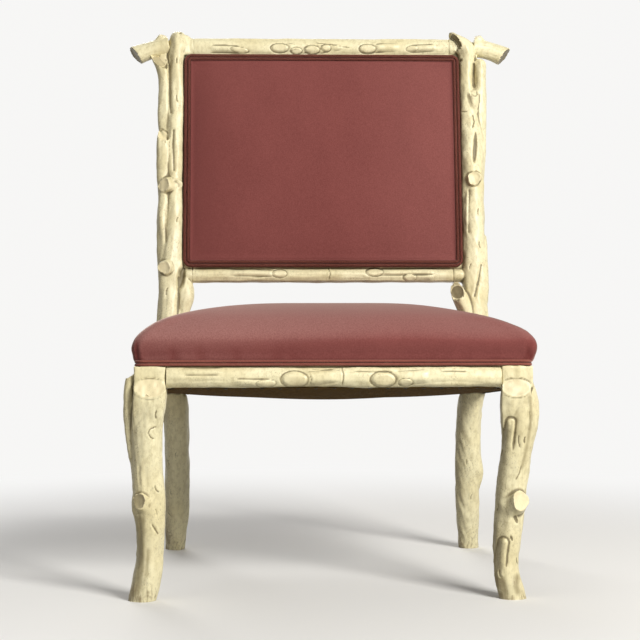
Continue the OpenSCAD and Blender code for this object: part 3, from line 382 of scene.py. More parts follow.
class Carving(Surface):
    """Wood fused from branches, that grooves, hollows and sawn faces are then cut into.

    Its points stay in the piece's own directions, in millimetres, until it is placed in the chair.
    A mark lies on one face, in the two coordinates that run across that face, with its height
    counted from the base."""

    def __init__(self, parts, base=0.0):
        mesh = fused(parts, sizes().detail)
        super().__init__(mesh, coordinates(mesh))
        self.other = [list(p.vertices) for p in mesh.polygons if len(p.vertices) != 4]
        self.base = base
        bpy.data.meshes.remove(mesh)
        self.sawn = np.zeros(len(self.points))
        self.glaze_and_shade = np.zeros(len(self.points))
        self.smooth(2)

    def mirror(self):
        """Turns a right-hand piece into a left-hand one."""
        self.points = self.points * [-1, 1, 1]
        self.quads = self.quads[:, ::-1]
        self.other = [f[::-1] for f in self.other]

    def _plane(self, face):
        """Way that a face looks, the points in its two coordinates, and how far each point faces it."""
        way = np.array(FACES[face], float)
        flat = self.points[:, [0, 2] if way[1] else [1, 2]] - [0, self.base]
        return way, flat, ease(self.normals() @ way, 0.05, 0.45)

    def _push(self, way, amount):
        self.points += way * amount[:, None]

    def _along(self, flat, line, fade):
        """Distance of each point from a line, and a share that fades out at the line's two ends."""
        line = np.asarray(line, float)
        best = np.full(len(flat), 1e9)
        fading = np.zeros(len(flat))
        lengths = np.linalg.norm(np.diff(line, axis=0), axis=1)
        start, total = 0.0, lengths.sum()
        for a, b, length in zip(line[:-1], line[1:], lengths):
            u = np.clip(((flat - a) @ (b - a)) / length ** 2, 0, 1)
            d = np.linalg.norm(flat - a - u[:, None] * (b - a), axis=1)
            s = start + u * length
            near = d < best
            best = np.where(near, d, best)
            fading = np.where(near, ease(np.minimum(s, total - s), -0.5, fade), fading)
            start += length
        return best, fading

    def groove(self, line, width, depth, face="front", lip=0.0, fade=6.0):
        """Gouged line along points of the face, that fades out at both ends."""
        way, flat, mask = self._plane(face)
        d, fading = self._along(flat, line, fade)
        cut = np.exp(-(d / width) ** 2)
        rise = lip * np.exp(-((d - 2.1 * width) / width) ** 2)
        self._push(way, (rise - depth * cut) * mask * fading)

    def twig(self, line, width, height, face="front", blunt=False):
        """Twig in low relief along points of the face, between two gouged lines. Its end may be blunt."""
        way, flat, mask = self._plane(face)
        d, fading = self._along(flat, line, 14)
        if blunt:
            fading = np.maximum(fading, 1 - ease(np.linalg.norm(flat - np.asarray(line[-1]), axis=1), 14, 20))
        body = height * np.exp(-(d / width) ** 4)
        lines = 0.55 * height * np.exp(-((d - 1.3 * width) / 1.3) ** 2)
        self._push(way, (body - lines) * mask * fading)
        edge = 0.5 * np.exp(-((d - 1.35 * width) / 1.8) ** 2)
        self.glaze_and_shade = np.maximum(self.glaze_and_shade, edge * mask * fading)

    def stain_and_shade(self, line, width, amount):
        """Brown glaze and wear along points of the front, for the paint only; on the left sides of the legs
        and posts, away from the light, it is painted shade.
        """
        way, flat, _ = self._plane("front")
        d, fading = self._along(flat, line, 12)
        mask = ease(self.normals() @ way, -0.5, 0.15)
        self.glaze_and_shade = np.maximum(self.glaze_and_shade, amount * np.exp(-(d / width) ** 2) * mask * fading)

    def crescent(self, at, length, angle, bow=0.3, depth=1.6, face="front"):
        """Half-moon nick, as a gouge leaves it."""
        a = math.radians(angle)
        u = np.linspace(-0.5, 0.5, 7)
        moon = np.stack([u * length, bow * length * (0.25 - u * u) * 2], 1)
        turn = np.array([[math.cos(a), math.sin(a)], [-math.sin(a), math.cos(a)]])
        self.groove(np.asarray(at) + moon @ turn, 1.3, depth, face, lip=0.7, fade=length * 0.3)

    def _oval(self, flat, at, half_len, half_width, angle):
        """How far out each point lies in an oval, with 1 at its rim."""
        a = math.radians(angle)
        d = flat - np.asarray(at, float)
        u = (d[:, 0] * math.cos(a) + d[:, 1] * math.sin(a)) / half_len
        v = (-d[:, 0] * math.sin(a) + d[:, 1] * math.cos(a)) / half_width
        return np.sqrt(u * u + v * v)

    def hollow(self, at, half_len, half_width, angle, depth, face="front", lip=0.6):
        """Almond recess with steep walls and a raised lip."""
        way, flat, mask = self._plane(face)
        rho = self._oval(flat, at, half_len, half_width, angle)
        pit = depth * np.clip(1 - rho ** 3, 0, 1)
        self._push(way, (lip * np.exp(-((rho - 1.25) / 0.2) ** 2) - pit) * mask)

    def sawn_oval(self, at, half_len, half_width, angle, rise=1.6, face="front", moat=1.4):
        """Sawn end of a twig that lies flat on the branch: a dished disc in a moat."""
        way, flat, mask = self._plane(face)
        rho = self._oval(flat, at, half_len, half_width, angle)
        disc = rise * (1 - ease(rho, 0.85, 1.0)) - 0.12 * rise * np.clip(1 - (rho / 0.8) ** 2, 0, 1)
        ring = moat * np.exp(-((rho - 1.14) / 0.11) ** 2)
        self._push(way, (disc - ring) * mask)
        self.sawn = np.maximum(self.sawn, 0.55 * (1 - ease(rho, 0.82, 0.96)) * mask)
        self.glaze_and_shade = np.maximum(self.glaze_and_shade, 0.75 * np.exp(-((rho - 1.13) / 0.13) ** 2) * mask)

    def log_face(self, x, radius, tone=1.0):
        """Sinks a leg's head back to the slanting, dished face of its carved log."""
        rho = np.hypot((self.points[:, 0] - x) / radius, (self.points[:, 2] - LOG_Z) / (0.61 * radius))
        plane = LOG_Y + (self.points[:, 2] - LOG_Z) / math.tan(LOG_TILT)
        dish = 0.8 * np.clip(1 - (rho / 0.88) ** 2, 0, 1) - 0.5 * np.exp(-((rho - 0.92) / 0.06) ** 2)
        near = (np.abs(self.points[:, 1] - plane) < 16) & (self.normals()[:, 1] < 0.3)
        share = np.where(near, 1 - ease(rho, 0.94, 1.08), 0)
        self.points[:, 1] += share * (plane + dish - self.points[:, 1])
        self.points[:, 1] += np.where(near, 0.7 * np.exp(-((rho - 1.1) / 0.05) ** 2), 0)
        inside = np.where(near, 1 - ease(rho, 0.84, 0.95), 0)
        self.smooth(10, 0.6 * inside[:, None])
        self.sawn = np.maximum(self.sawn, tone * inside)

    def soften(self, at, reach):
        """Blends the root of a knot into the wood round it."""
        far = np.linalg.norm(self.points - np.asarray(at, float), axis=1)
        self.smooth(12, 0.6 * (1 - ease(far, 0.6 * reach, reach))[:, None])

    def mark_sawn(self, at, normal, radius, tone=1.0):
        """Notes where a branch was sawn through, for the paint: 1 is a pale face and 2 a dark one, dark with
        glaze and, on ends turned from the light, painted shade.
        """
        n = unit(normal)
        d = self.points - np.asarray(at, float)
        high = d @ n
        side = np.linalg.norm(d - high[:, None] * n, axis=1)
        facing = ease(self.normals() @ n, 0.55, 0.85)
        near = (1 - ease(np.abs(high), 3, 5)) * (1 - ease(side, radius, radius + 2))
        self.sawn = np.maximum(self.sawn, tone * near * facing)

    def age(self, axis, seed, amount=0.45):
        """Notes the hollows, then adds the long low ripples of old carved wood, drawn out along the grain."""
        self.smooth(1)
        self.hollow_map = self.hollowness()
        rng = np.random.default_rng(seed)
        wave = np.zeros(len(self.points))
        for _ in range(RIPPLES):
            length = rng.uniform(16, 52, 3)
            length[axis] = rng.uniform(30, 130)
            way = rng.normal(size=3) * 2 * math.pi / length
            wave += np.sin(self.points @ way + rng.uniform(0, 6.28))
        self.points += self.normals() * (amount * wave / math.sqrt(RIPPLES / 2))[:, None]

    def hollowness(self):
        """How far each point lies in a hollow (above 0) or on an edge (below 0)."""
        normals = self.normals()
        out = np.zeros(len(self.points))
        soft = self.points.copy()
        done = 0
        for passes, scale in ((4, 0.16), (24, 0.6), (70, 1.5)):
            for _ in range(passes - done):
                soft += 0.6 * (neighbour_mean(soft, self.edges) - soft)
            done = passes
            out += np.einsum("ij,ij->i", soft - self.points, normals) / scale
        return np.clip(out * 0.36, -1, 1.2)

    def piece(self, name, place=upright, wear=0.0):
        """The finished object, placed in the chair, with what the paint needs to know."""
        mesh = mesh_of(name, place(self.points), self.quads.tolist() + self.other, MM)
        hollow = np.maximum(self.hollow_map * (1 - 0.8 * np.clip(self.sawn, 0, 1)), self.glaze_and_shade) + wear
        # Painted shade: the sides that face left, away from the light, are darkened with glaze and streaks;
        # the brown specks there are grime
        grime = ease(-self.normals()[:, 0], 0.1, 0.9)
        add_layers(mesh, hollow=hollow, sawn=self.sawn, grime=grime)
        shade_smooth(mesh)
        return new_object(name, mesh)


def finish_piece(obj, material, slot, *nodes):
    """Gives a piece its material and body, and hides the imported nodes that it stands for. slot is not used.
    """
    obj.data.materials.clear()
    obj.data.materials.append(material)
    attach(obj, BODY)
    if nodes:
        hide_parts(*nodes)
    return obj


# Materials

class Sock:
    """A socket in a node tree, so that shader maths reads as plain expressions."""

    def __init__(self, tree, socket):
        self.tree, self.socket = tree, socket

    def _math(self, operation, *values, clamp=False):
        node = self.tree.nodes.new("ShaderNodeMath")
        node.operation = operation
        node.use_clamp = clamp
        for slot, value in zip(node.inputs, values):
            if isinstance(value, Sock):
                self.tree.links.new(value.socket, slot)
            else:
                slot.default_value = value
        return Sock(self.tree, node.outputs[0])

    def __add__(self, other):
        return self._math("ADD", self, other)

    __radd__ = __add__

    def __sub__(self, other):
        return self._math("SUBTRACT", self, other)

    def __rsub__(self, other):
        return self._math("SUBTRACT", other, self)

    def __mul__(self, other):
        return self._math("MULTIPLY", self, other)

    def clamp(self):
        return self._math("ADD", self, 0.0, clamp=True)

    def band(self, low, high):
        """0 below low, 1 above high, smooth between."""
        node = self.tree.nodes.new("ShaderNodeMapRange")
        node.interpolation_type = "SMOOTHSTEP"
        self.tree.links.new(self.socket, node.inputs["Value"])
        node.inputs["From Min"].default_value = low
        node.inputs["From Max"].default_value = high
        return Sock(self.tree, node.outputs[0])


class Graph:
    """A node tree under construction."""

    def __init__(self, tree):
        self.tree = tree

    def node(self, kind, settings=(), output=0, **inputs):
        """A node with its settings and then its sockets, by name or as an i and their number."""
        node = self.tree.nodes.new(kind)
        for key, value in dict(settings).items():
            setattr(node, key, value)
        for key, value in inputs.items():
            numbered = key[0] == "i" and key[1:].isdigit()
            socket = node.inputs[int(key[1:]) if numbered else key.replace("_", " ")]
            if isinstance(value, Sock):
                self.tree.links.new(value.socket, socket)
            else:
                socket.default_value = value
        return Sock(self.tree, node.outputs[output])


class Paintbox(Graph):
    """One material under construction."""

    def __init__(self, name):
        self.material = bpy.data.materials.new(name)
        self.material.use_nodes = True
        super().__init__(self.material.node_tree)
        self.tree.nodes.clear()
        self.out = self.tree.nodes.new("ShaderNodeOutputMaterial")
        self.shader = self.tree.nodes.new("ShaderNodeBsdfPrincipled")
        self.tree.links.new(self.shader.outputs[0], self.out.inputs["Surface"])
        self.coords = Sock(self.tree, self.tree.nodes.new("ShaderNodeTexCoord").outputs["Object"])

    def stretched(self, scale, shift=(0, 0, 0)):
        return self.node("ShaderNodeMapping", Vector=self.coords, Scale=scale, Location=shift)

    def noise(self, scale, stretch=(1, 1, 1), detail=3.0, rough=0.5, shift=(0, 0, 0)):
        return self.node("ShaderNodeTexNoise", Vector=self.stretched(stretch, shift), Scale=scale,
                         Detail=detail, Roughness=rough)

    def field(self, name):
        return self.node("ShaderNodeAttribute", {"attribute_name": name}, output="Fac")

    def height(self):
        return self.node("ShaderNodeSeparateXYZ", output="Z", Vector=self.coords)

    def mix(self, share, a, b):
        """Colour a where share is 0, colour b where it is 1."""
        return self.node("ShaderNodeMix", {"data_type": "RGBA"}, output=2, i0=share, i6=self.rgb(a),
                         i7=self.rgb(b))

    @staticmethod
    def rgb(colour):
        return colour if isinstance(colour, Sock) else (*colour[:3], 1.0)

    def set(self, name, value):
        if isinstance(value, Sock):
            self.tree.links.new(value.socket, self.shader.inputs[name])
        else:
            self.shader.inputs[name].default_value = value

    def bump(self, height, distance, strength=1.0, under=None):
        extra = {"Normal": under} if under else {}
        return self.node("ShaderNodeBump", Height=height, Distance=distance, Strength=strength, **extra)


def linear(hex_colour):
    """Linear colour for a hex one as seen on a screen."""
    parts = [int(hex_colour[i:i + 2], 16) / 255 for i in (1, 3, 5)]
    return tuple(c / 12.92 if c <= 0.04045 else ((c + 0.055) / 1.055) ** 2.4 for c in parts)


def painted_wood(look, axis):
    """Old cream paint over carved wood: brown glaze left in the hollows, rubbed edges and worn feet, with
    painted shade on the sides that face left and on sawn ends turned from the light.
    """
    box = Paintbox("cream_paint_" + "xyz"[axis])
    long_way = [1.0, 1.0, 1.0]
    long_way[axis] = 0.06
    hollow, sawn, grime, high = box.field("hollow"), box.field("sawn"), box.field("grime"), box.height()
    tone = box.noise(11, detail=2)
    streak = box.noise(260, long_way, detail=4, rough=0.6)
    cloud = box.noise(46, detail=4, rough=0.65)
    speck = box.noise(430, (1, 1, 0.7), detail=3, rough=0.7)
    mottle = box.noise(150, (1, 1, 0.6), detail=4, rough=0.7)
    speck_where = box.noise(24, detail=2, shift=(3, 1, 2))

    colour = box.mix(tone.band(0.38, 0.68), look.paint, look.paint_warm)
    colour = box.mix(mottle.band(0.42, 0.66) * 0.5, colour, look.paint_shadow)
    colour = box.mix(streak.band(0.5, 0.8) * (0.26 + grime * 0.4), colour, look.paint_shadow)
    colour = box.mix((0 - hollow).band(0.12, 0.8) * 0.55, colour, look.paint_rubbed)
    glaze = (hollow + (cloud - 0.5) * 0.3 + (streak - 0.5) * 0.25 + grime * 0.06).band(0.16, 0.8)
    colour = box.mix(glaze * 0.62, colour, look.glaze)
    deep = (hollow + (cloud - 0.5) * 0.2).band(0.7, 1.15)
    colour = box.mix(deep * 0.6, colour, look.glaze_deep)
    # painted shade on the sides that face left, with some grime
    colour = box.mix(grime * (0.1 + cloud * 0.5), colour, look.glaze)
    specks = speck.band(0.56, 0.66) * (speck_where + grime * 0.25).band(0.42, 0.66)
    colour = box.mix(specks * (0.5 + grime * 0.3), colour, look.glaze)
    scuff = (cloud + (streak - 0.5) * 0.8 + grime * 0.05).band(0.72, 0.82)
    colour = box.mix(scuff * 0.4, colour, look.glaze)
    end = (sawn + (cloud - 0.5) * 0.25 * sawn).band(0.3, 0.9)
    colour = box.mix(end * 0.7, colour, look.sawn_face)
    dark_end = (sawn + (cloud - 0.5) * 0.5).band(1.05, 1.8)
    # painted shade on sawn ends turned from the light, with glaze
    colour = box.mix(dark_end * 0.9, colour, look.dark_end)
    low = (0.06 - high) * 11
    foot = (low + (cloud - 0.5) * 3.4 + (streak - 0.5) * 2.4 + grime * 0.5 - 0.3).band(0.3, 1.1)
    colour = box.mix(foot * 0.72, colour, look.worn_foot)
    box.set("Base Color", colour)
    box.set("Roughness", 0.44 + (cloud - 0.5) * 0.25 + glaze * 0.18)
    box.set("Coat Weight", 0.08)
    box.set("Coat Roughness", 0.35)
    grain = box.bump(streak + (cloud - 0.5) * 0.5, 0.0005, 0.4)
    chips = box.bump(0 - specks - scuff * 0.6, 0.0003, 0.5, under=grain)
    box.set("Normal", chips)
    return box.material


def velvet(name, colour, dark, pale, sheen, crease):
    """Short-pile velvet: brushed nap that turns light and dark at random, fine pile and a pale sheen, with
    painted light and shade laid over it.
    """
    box = Paintbox(name)
    lie = box.noise(4.5, (1, 0.55, 0.8), detail=2, rough=0.45)
    brushed = box.noise(24, (1, 0.35, 0.5), detail=3, rough=0.55)
    pile = box.noise(650, (1, 0.7, 0.7), detail=2, rough=0.7)
    grain = pile.band(0.34, 0.66) - 0.5
    shade = ((lie - 0.5) * 0.8 + (brushed - 0.5) * 0.45 + grain * 0.5 + 0.55).clamp()
    tone = box.mix(shade, dark, colour)
    # painted light: lighter where the velvet faces up, darker on the back's left edge and in the folds
    nap = box.field("nap")
    tone = box.mix((nap * 0.47 + grain * nap * 0.25).clamp(), tone, pale)
    tone = box.mix((nap * -0.6).clamp(), tone, dark)
    # painted shade in the welt's creases and the cushions' folds
    tone = box.mix(box.field("crease") * 0.62, tone, crease)
    box.set("Base Color", tone)
    box.set("Roughness", 0.88 + (brushed - 0.5) * 0.16)
    box.set("Specular IOR Level", 0.1)
    box.set("Sheen Weight", 0.9)
    box.set("Sheen Roughness", 0.38)
    box.set("Sheen Tint", (*sheen, 1.0))
    box.set("Normal", box.bump(pile + (brushed - 0.5) * 1.0, 0.0004, 0.4))
    return box.material


def plain_cloth(name, colour, dark, weave):
    """Woven cloth: threads both ways, uneven in tone."""
    box = Paintbox(name)
    warp, weft = [box.node("ShaderNodeTexWave", {"bands_direction": way}, output="Fac", Vector=box.coords,
                           Scale=weave, Distortion=0.6, Detail=1.0) for way in "XY"]
    slub = box.noise(160, (1, 0.2, 1), detail=3)
    thread = (warp + weft) * 0.5
    tone = (thread * 0.6 + (slub - 0.5) * 0.9 + 0.2).clamp()
    box.set("Base Color", box.mix(tone, dark, colour))
    box.set("Roughness", 0.9)
    box.set("Specular IOR Level", 0.12)
    box.set("Normal", box.bump(thread + slub * 0.6, 0.0006, 0.7))
    return box.material


def bare_wood(colour, dark):
    box = Paintbox("bare_hardwood")
    ring = box.noise(70, (1, 0.12, 1), detail=4, rough=0.6)
    pore = box.noise(420, (1, 0.08, 1), detail=2)
    box.set("Base Color", box.mix((ring * 0.8 + pore * 0.3 - 0.1).clamp(), dark, colour))
    box.set("Roughness", 0.6 + (ring - 0.5) * 0.25)
    box.set("Normal", box.bump(ring + pore, 0.0004, 0.5))
    return box.material


def metal(name, colour, rough):
    box = Paintbox(name)
    wear = box.noise(300, detail=3)
    box.set("Base Color", box.mix(wear.band(0.4, 0.7), colour, tuple(c * 0.6 for c in colour)))
    box.set("Metallic", 1.0)
    box.set("Roughness", rough + (wear - 0.5) * 0.3)
    box.set("Normal", box.bump(wear, 0.0001, 0.4))
    return box.material


# What a user changes

def colour_property(name, description, hex_colour):
    return FloatVectorProperty(name=name, description=description, subtype="COLOR", size=3, min=0, max=1,
                               default=linear(hex_colour))


class ChairLook(bpy.types.PropertyGroup):
    """Colours of the chair."""
    paint: colour_property("Paint", "Cream paint over the wood", "#F1E8C0")
    paint_warm: colour_property("Warm paint", "Yellower patches of the old paint", "#E7DBAE")
    paint_shadow: colour_property("Streaks", "Grain that shows through the paint", "#C7BA8E")
    paint_rubbed: colour_property("Rubbed edges", "Paint polished pale on raised carving", "#F7F2D2")
    glaze: colour_property("Glaze", "Brown glaze left in the hollows", "#857650")
    glaze_deep: colour_property("Deep glaze", "Darkest glaze, at the bottom of a cut", "#43371C")
    sawn_face: colour_property("Sawn faces", "Pale cut ends of the carved branches", "#EBDCB2")
    # also painted shade on the sawn ends turned from the light
    dark_end: colour_property("Dark ends", "Glaze left on the hollowed branch ends", "#675A36")
    worn_foot: colour_property("Worn feet", "Bare wood where the feet are scuffed", "#8F7E5C")
    velvet: colour_property("Velvet", "Dusty rose pile", "#894E4A")
    # also used for the painted shade on the velvet's left side and in its folds
    velvet_dark: colour_property("Velvet shade", "Pile brushed away from the light", "#703B38")
    # painted highlight: the velvet's upward tops and its right side lighter, where the light falls
    velvet_painted_highlight: colour_property("Velvet top", "Pile that lies toward the light", "#AD827B")
    welt: colour_property("Welt", "Cords covered in the same velvet", "#965C50")
    welt_dark: colour_property("Welt shade", "Shaded pile on the cords", "#753F36")
    # painted shade between and beside the cords and in the seat's folds
    welt_crease: colour_property("Welt crease", "Dark line between and beside the cords", "#561B18")
    sheen: colour_property("Sheen", "Light caught on the tips of the pile", "#DCC6BC")


def length_property(name, description, default, low, high):
    return FloatProperty(name=name, description=description, default=default, min=low, max=high,
                         unit="LENGTH")


class ChairSizes(bpy.types.PropertyGroup):
    """Sizes of what dresses the frame."""
    detail: FloatProperty(name="Carving detail", default=1.6, min=1.2, max=4,
                          description="Side of the smallest step in the carved wood, in mm")
    cushion_step: length_property("Cushion mesh", "Side of a face of the cushions", 0.0059, 0.003, 0.01)
    pressure: FloatProperty(name="Stuffing pressure", default=4.0, min=0, max=8,
                            description="How hard the stuffing pushes")
    seat_cord: length_property("Seat welt", "Diameter of a cord round the seat", 0.0048, 0.003, 0.007)
    back_cord: length_property("Back welt", "Diameter of a cord round the back", 0.006, 0.003, 0.008)
    tacks: IntProperty(name="Tacks", default=19, min=6, max=40,
                       description="Tacks along each edge of the cloth under the seat")


def look():
    return bpy.context.scene.chair_look


def sizes():
    return bpy.context.scene.chair_sizes


_made = {}


def material(key):
    """Each material is made once, on first use."""
    c = look()
    shared = c.sheen, c.welt_crease
    makers = {
        "paint_x": lambda: painted_wood(c, 0),
        "paint_y": lambda: painted_wood(c, 1),
        "paint_z": lambda: painted_wood(c, 2),
        "velvet": lambda: velvet("rose_velvet", c.velvet, c.velvet_dark, c.velvet_painted_highlight, *shared),
        "welt": lambda: velvet("welt_velvet", c.welt, c.welt_dark, c.velvet_painted_highlight, *shared),
        "dust": lambda: plain_cloth("dust_cloth", linear("#6E5220"), linear("#3A290B"), 420),
        "jute": lambda: plain_cloth("jute_webbing", linear("#B89C6C"), linear("#7C6238"), 160),
        "hessian": lambda: plain_cloth("hessian", linear("#B7A077"), linear("#7F6A45"), 240),
        "wood": lambda: bare_wood(linear("#B99468"), linear("#8E6A42")),
        "steel": lambda: metal("tack_steel", linear("#4E4A42"), 0.5),
    }
    if key not in _made:
        _made[key] = makers[key]()
    return _made[key]


# Carved wood

def side_name(side):
    return "left" if side < 0 else "right"


def branch(side, rows, sides=36, **shape):
    """Branch of a post, in rows of height, distance from the middle line, depth off the axis, radius."""
    return tube([[side * x, axis_y(z) + d, z, r] for z, x, d, r in rows], sides, **shape)


def lift(f):
    """Height of a share of the way from the lower back rail to the head of a post."""
    return LOW_Z + f * (POST_HEAD - LOW_Z)


def leg_head(side):
    """Squared head of a leg, and the plain land above it with a rounded outer corner."""
    r, x1 = 14.1, HALF_W - LAND_IN
    arc = [(x1 + r * (math.cos(a) - 1), LAND_IN + r * (math.sin(a) + 1))
           for a in np.linspace(-math.pi / 2, 0, 7)]
    x0, v1 = LEG_IN + JOINT_GAP, LEG_W - JOINT_GAP
    plan = [(x0, v1), (x0, LAND_IN), *arc, (x1, v1)]
    block = slab((x0, 0.8, -RAIL_SHOW), (HALF_W - 0.5, v1, 0))
    land = prism(plan, -2, RAIL_LAND)
    parts = [(on_seat(points), faces) for points, faces in (block, land)]
    return [mirrored(part) for part in parts] if side < 0 else parts


LOG_TILT = math.radians(71)
LOG_NORMAL = (0, -math.sin(LOG_TILT), math.cos(LOG_TILT))
LOG_Y, LOG_Z = FRONT_Y - 4.6, 333


def carved_log(x0, x1, radius, seed):
    """Log in low relief down the leg, with its slanting sawn face at the head."""
    return tube([[x0, FRONT_Y + 6, 268, radius - 3], [(x0 + x1) / 2, FRONT_Y - 2.5, 300, radius - 0.5],
                 [x1, LOG_Y, LOG_Z, radius]], 48, squash=0.21, lumps=0.008, seed=seed, cut1=LOG_NORMAL)


def flat_foot(carving):
    carving.points[:, 2] = np.maximum(carving.points[:, 2], 0)


def nick_sides(carving, places, lean, depth, drop):
    """Hollows and nicks on both sides of a front leg. lean is 1 on the left leg and -1 on the right."""
    for z, y, side in places:
        carving.hollow((y, z), 12, 3.5, 90 - 8 * lean, depth, side)
        carving.crescent((y + 8 * lean, z - drop), 15, 90 - 20 * lean, 0.35, depth=1.5, face=side)


def front_leg_left():
    x, y = -LEG_X, LEG_Y
    big_knot = (x - 8, y - 8, 153), (-0.5, -1, 0.3)
    parts = leg_head(-1) + [
        tube([[x, y + 8, 347, 22], [x, y - 1, 328, 26], [x - 2.5, y - 2, 306, 27],
              [x - 5, y - 2, 288, 26.5], [x - 7, y - 2, 260, 25.2], [x - 6, y, 223, 24.2],
              [x - 5, y + 1, 190, 24.7], [x - 3, y, 154, 24.9], [x - 1.5, y, 110, 22.7],
              [x - 2, y, 66, 21.5], [x - 7.5, y - 2, 30, 22.2], [x - 16, y - 5, -8, 20.5]],
             squash=0.94, seed=0.4, lumps=0.02),
        carved_log(x - 6, x, 25.5, 1),
        tube([[-317, y - 7, 352, 8.5], [-320, y - 6, 316, 8.5], [-318.5, y - 4, 267, 8.5],
              [-313, y - 2, 230, 8.5], [-307, y, 200, 7.5]], 28, seed=2, cut0=(-0.5, 0, 0.86)),
        knot(*big_knot, 12.5, 22, seed=1, flare=1.75, cut=(-0.5, -0.95, 0.1)),
        # swelling behind the knot
        tube([[x - 8, y - 2, 182, 16], [x - 14, y - 3, 155, 17], [x - 11, y, 128, 15], [x - 6, y, 104, 15]],
             28, seed=5, dome0=True, dome1=True),
        knot((x - 8, y + 10, 236), (0.2, 1, 0.3), 10, 20, seed=3),
    ]
    c = Carving(parts)
    c.crescent((-275, 293), 18, 86, 0.25, depth=1.5)
    c.groove([(-276, 274), (-286, 270), (-289, 264), (-285, 257), (-277, 253)], 1.2, 1.7, lip=0.7)
    c.crescent((-275, 177), 16, 118, 0.4, depth=1.6)
    c.groove([(-280, 149), (-276, 141), (-275, 132)], 1.1, 1.2)
    c.groove([(-285, 124), (-279, 113), (-273, 103)], 1.5, 1.9, lip=0.7)
    c.groove([(-303, 136), (-302, 100), (-301, 66)], 2.4, 1.3)
    c.groove([(-303, 216), (-304, 196), (-301, 178)], 2.2, 1.0)
    nick_sides(c, ((300, y + 4, "left"), (210, y - 3, "left"), (86, y + 3, "left"),
                   (250, y + 4, "right"), (180, y - 3, "right"), (110, y + 5, "right")), 1, 1.0, 34)
    c.soften((x - 10, y - 16, 136), 18)
    c.hollow((-288, 190), 13, 4, 88, 2.6, "back")
    c.groove([(-278, 320), (-281, 280), (-277, 250)], 1.8, 2.4, "back", lip=0.5)
    c.log_face(x, 25.5)
    c.age(2, 11)
    c.mark_sawn((-317, y - 7, 352), (-0.5, 0, 0.86), 12)
    # the knot's face turns left, from the light: its dark tone is painted shade
    c.mark_sawn(tip(*big_knot, 22), (-0.5, -0.95, 0.1), 11.5, 1.5)
    # painted shade down the leg's left side, away from the light, with wear near the foot
    c.stain_and_shade([(-302, 140), (-303, 110), (-300, 80), (-302, 50), (-308, 20), (-311, 4)], 8.5, 0.85)
    c.stain_and_shade([(-289, 92), (-290, 70), (-293, 45), (-297, 20)], 4.5, 0.6)
    c.stain_and_shade([(-312, 346), (-312, 300), (-309, 250)], 2.0, 0.5)
    c.stain_and_shade([(-305, 250), (-304, 210), (-305, 172)], 3.5, 0.35)
    flat_foot(c)
    return c.piece("carved_front_leg_left")


def front_leg_right():
    x, y = LEG_X, LEG_Y
    big_knot = (x - 5, y - 3.5, 147), (0.5, -1, 0.42)
    outer_knot = (x + 6, y + 8, 236), (0.9, 0.6, 0.4)
    parts = leg_head(1) + [
        tube([[x + 1, y + 8, 347, 22], [x + 4, y - 1, 328, 27], [x + 5.8, y - 2, 305, 30.5],
              [x + 6.7, y - 1, 278, 29.4], [x + 4, y, 251, 26], [x, y, 224, 24.4],
              [x - 3.3, y + 1, 197, 24.2], [x - 6.7, y + 1, 170, 23], [x - 9, y + 1, 143, 22.5],
              [x - 10.4, y + 1, 116, 23], [x - 13, y, 89, 22.2], [x - 14, y, 62, 20.1],
              [x - 12.6, y - 2, 35, 19.5], [x - 7.5, y - 4, 13, 20.7], [x - 3, y - 5, -8, 21.7]],
             squash=0.93, seed=0.9, lumps=0.015),
        carved_log(x - 3, x - 3, 23.5, 2),
        knot(*big_knot, 15.5, 26, flare=1.6, seed=2, cut=(0.62, -0.95, 0.3)),
        knot(*outer_knot, 9, 24, seed=4),
        knot((x - 12, y + 8, 118), (-0.4, 1, 0.3), 10, 20, seed=5),
    ]
    c = Carving(parts)
    c.groove([(303, 300), (305, 282), (303, 262)], 1.5, 1.0)
    c.twig([(271, 232), (273, 256), (275, 279)], 6.0, 4.2, blunt=True)
    c.hollow((275, 281), 5, 4, 80, 1.2, lip=0.4)
    c.twig([(261, 48), (263, 74), (265, 90)], 6.3, 4.0, blunt=True)
    c.crescent((298, 251), 13, 84, 0.3, depth=1.5)
    c.groove([(288, 262), (287, 248), (291, 236)], 1.2, 1.2)
    c.hollow((284, 126), 8, 3.2, 112, 2.0)
    c.hollow((277, 97), 5.5, 2.0, 112, 1.8)
    c.groove([(294, 214), (289, 198), (282, 186)], 2.0, 1.2)
    c.crescent((262, 40), 15, 100, 0.3, depth=1.3)
    nick_sides(c, ((296, y + 2, "right"), (200, y + 2, "right"), (92, y - 2, "right"),
                   (262, y + 4, "left"), (176, y + 2, "left"), (70, y + 3, "left")), -1, 1.6, 32)
    c.soften((x - 15, y - 20, 143), 21)
    c.hollow((276, 178), 13, 4, 92, 2.6, "back")
    c.groove([(290, 322), (286, 284), (290, 254)], 1.8, 2.4, "back", lip=0.5)
    c.log_face(x - 3, 23.5, 1.26)
    c.age(2, 12)
    c.mark_sawn(tip(*big_knot, 26), (0.62, -0.95, 0.3), 15, 1.12)
    c.stain_and_shade([(302, 330), (307, 290), (301, 240), (292, 200)], 3.0, 0.4)
    # painted shade down the leg's left side, away from the light, and wear at the foot
    c.stain_and_shade([(252, 120), (249, 80), (252, 40), (258, 12)], 3.5, 0.45)
    c.stain_and_shade([(288, 44), (285, 22), (291, 2)], 5, 0.55)
    c.stain_and_shade([(262, 40), (268, 14), (272, 2)], 3.5, 0.6)
    c.mark_sawn(tip(*outer_knot, 24), outer_knot[1], 9)
    flat_foot(c)
    return c.piece("carved_front_leg_right", wear=0.3)


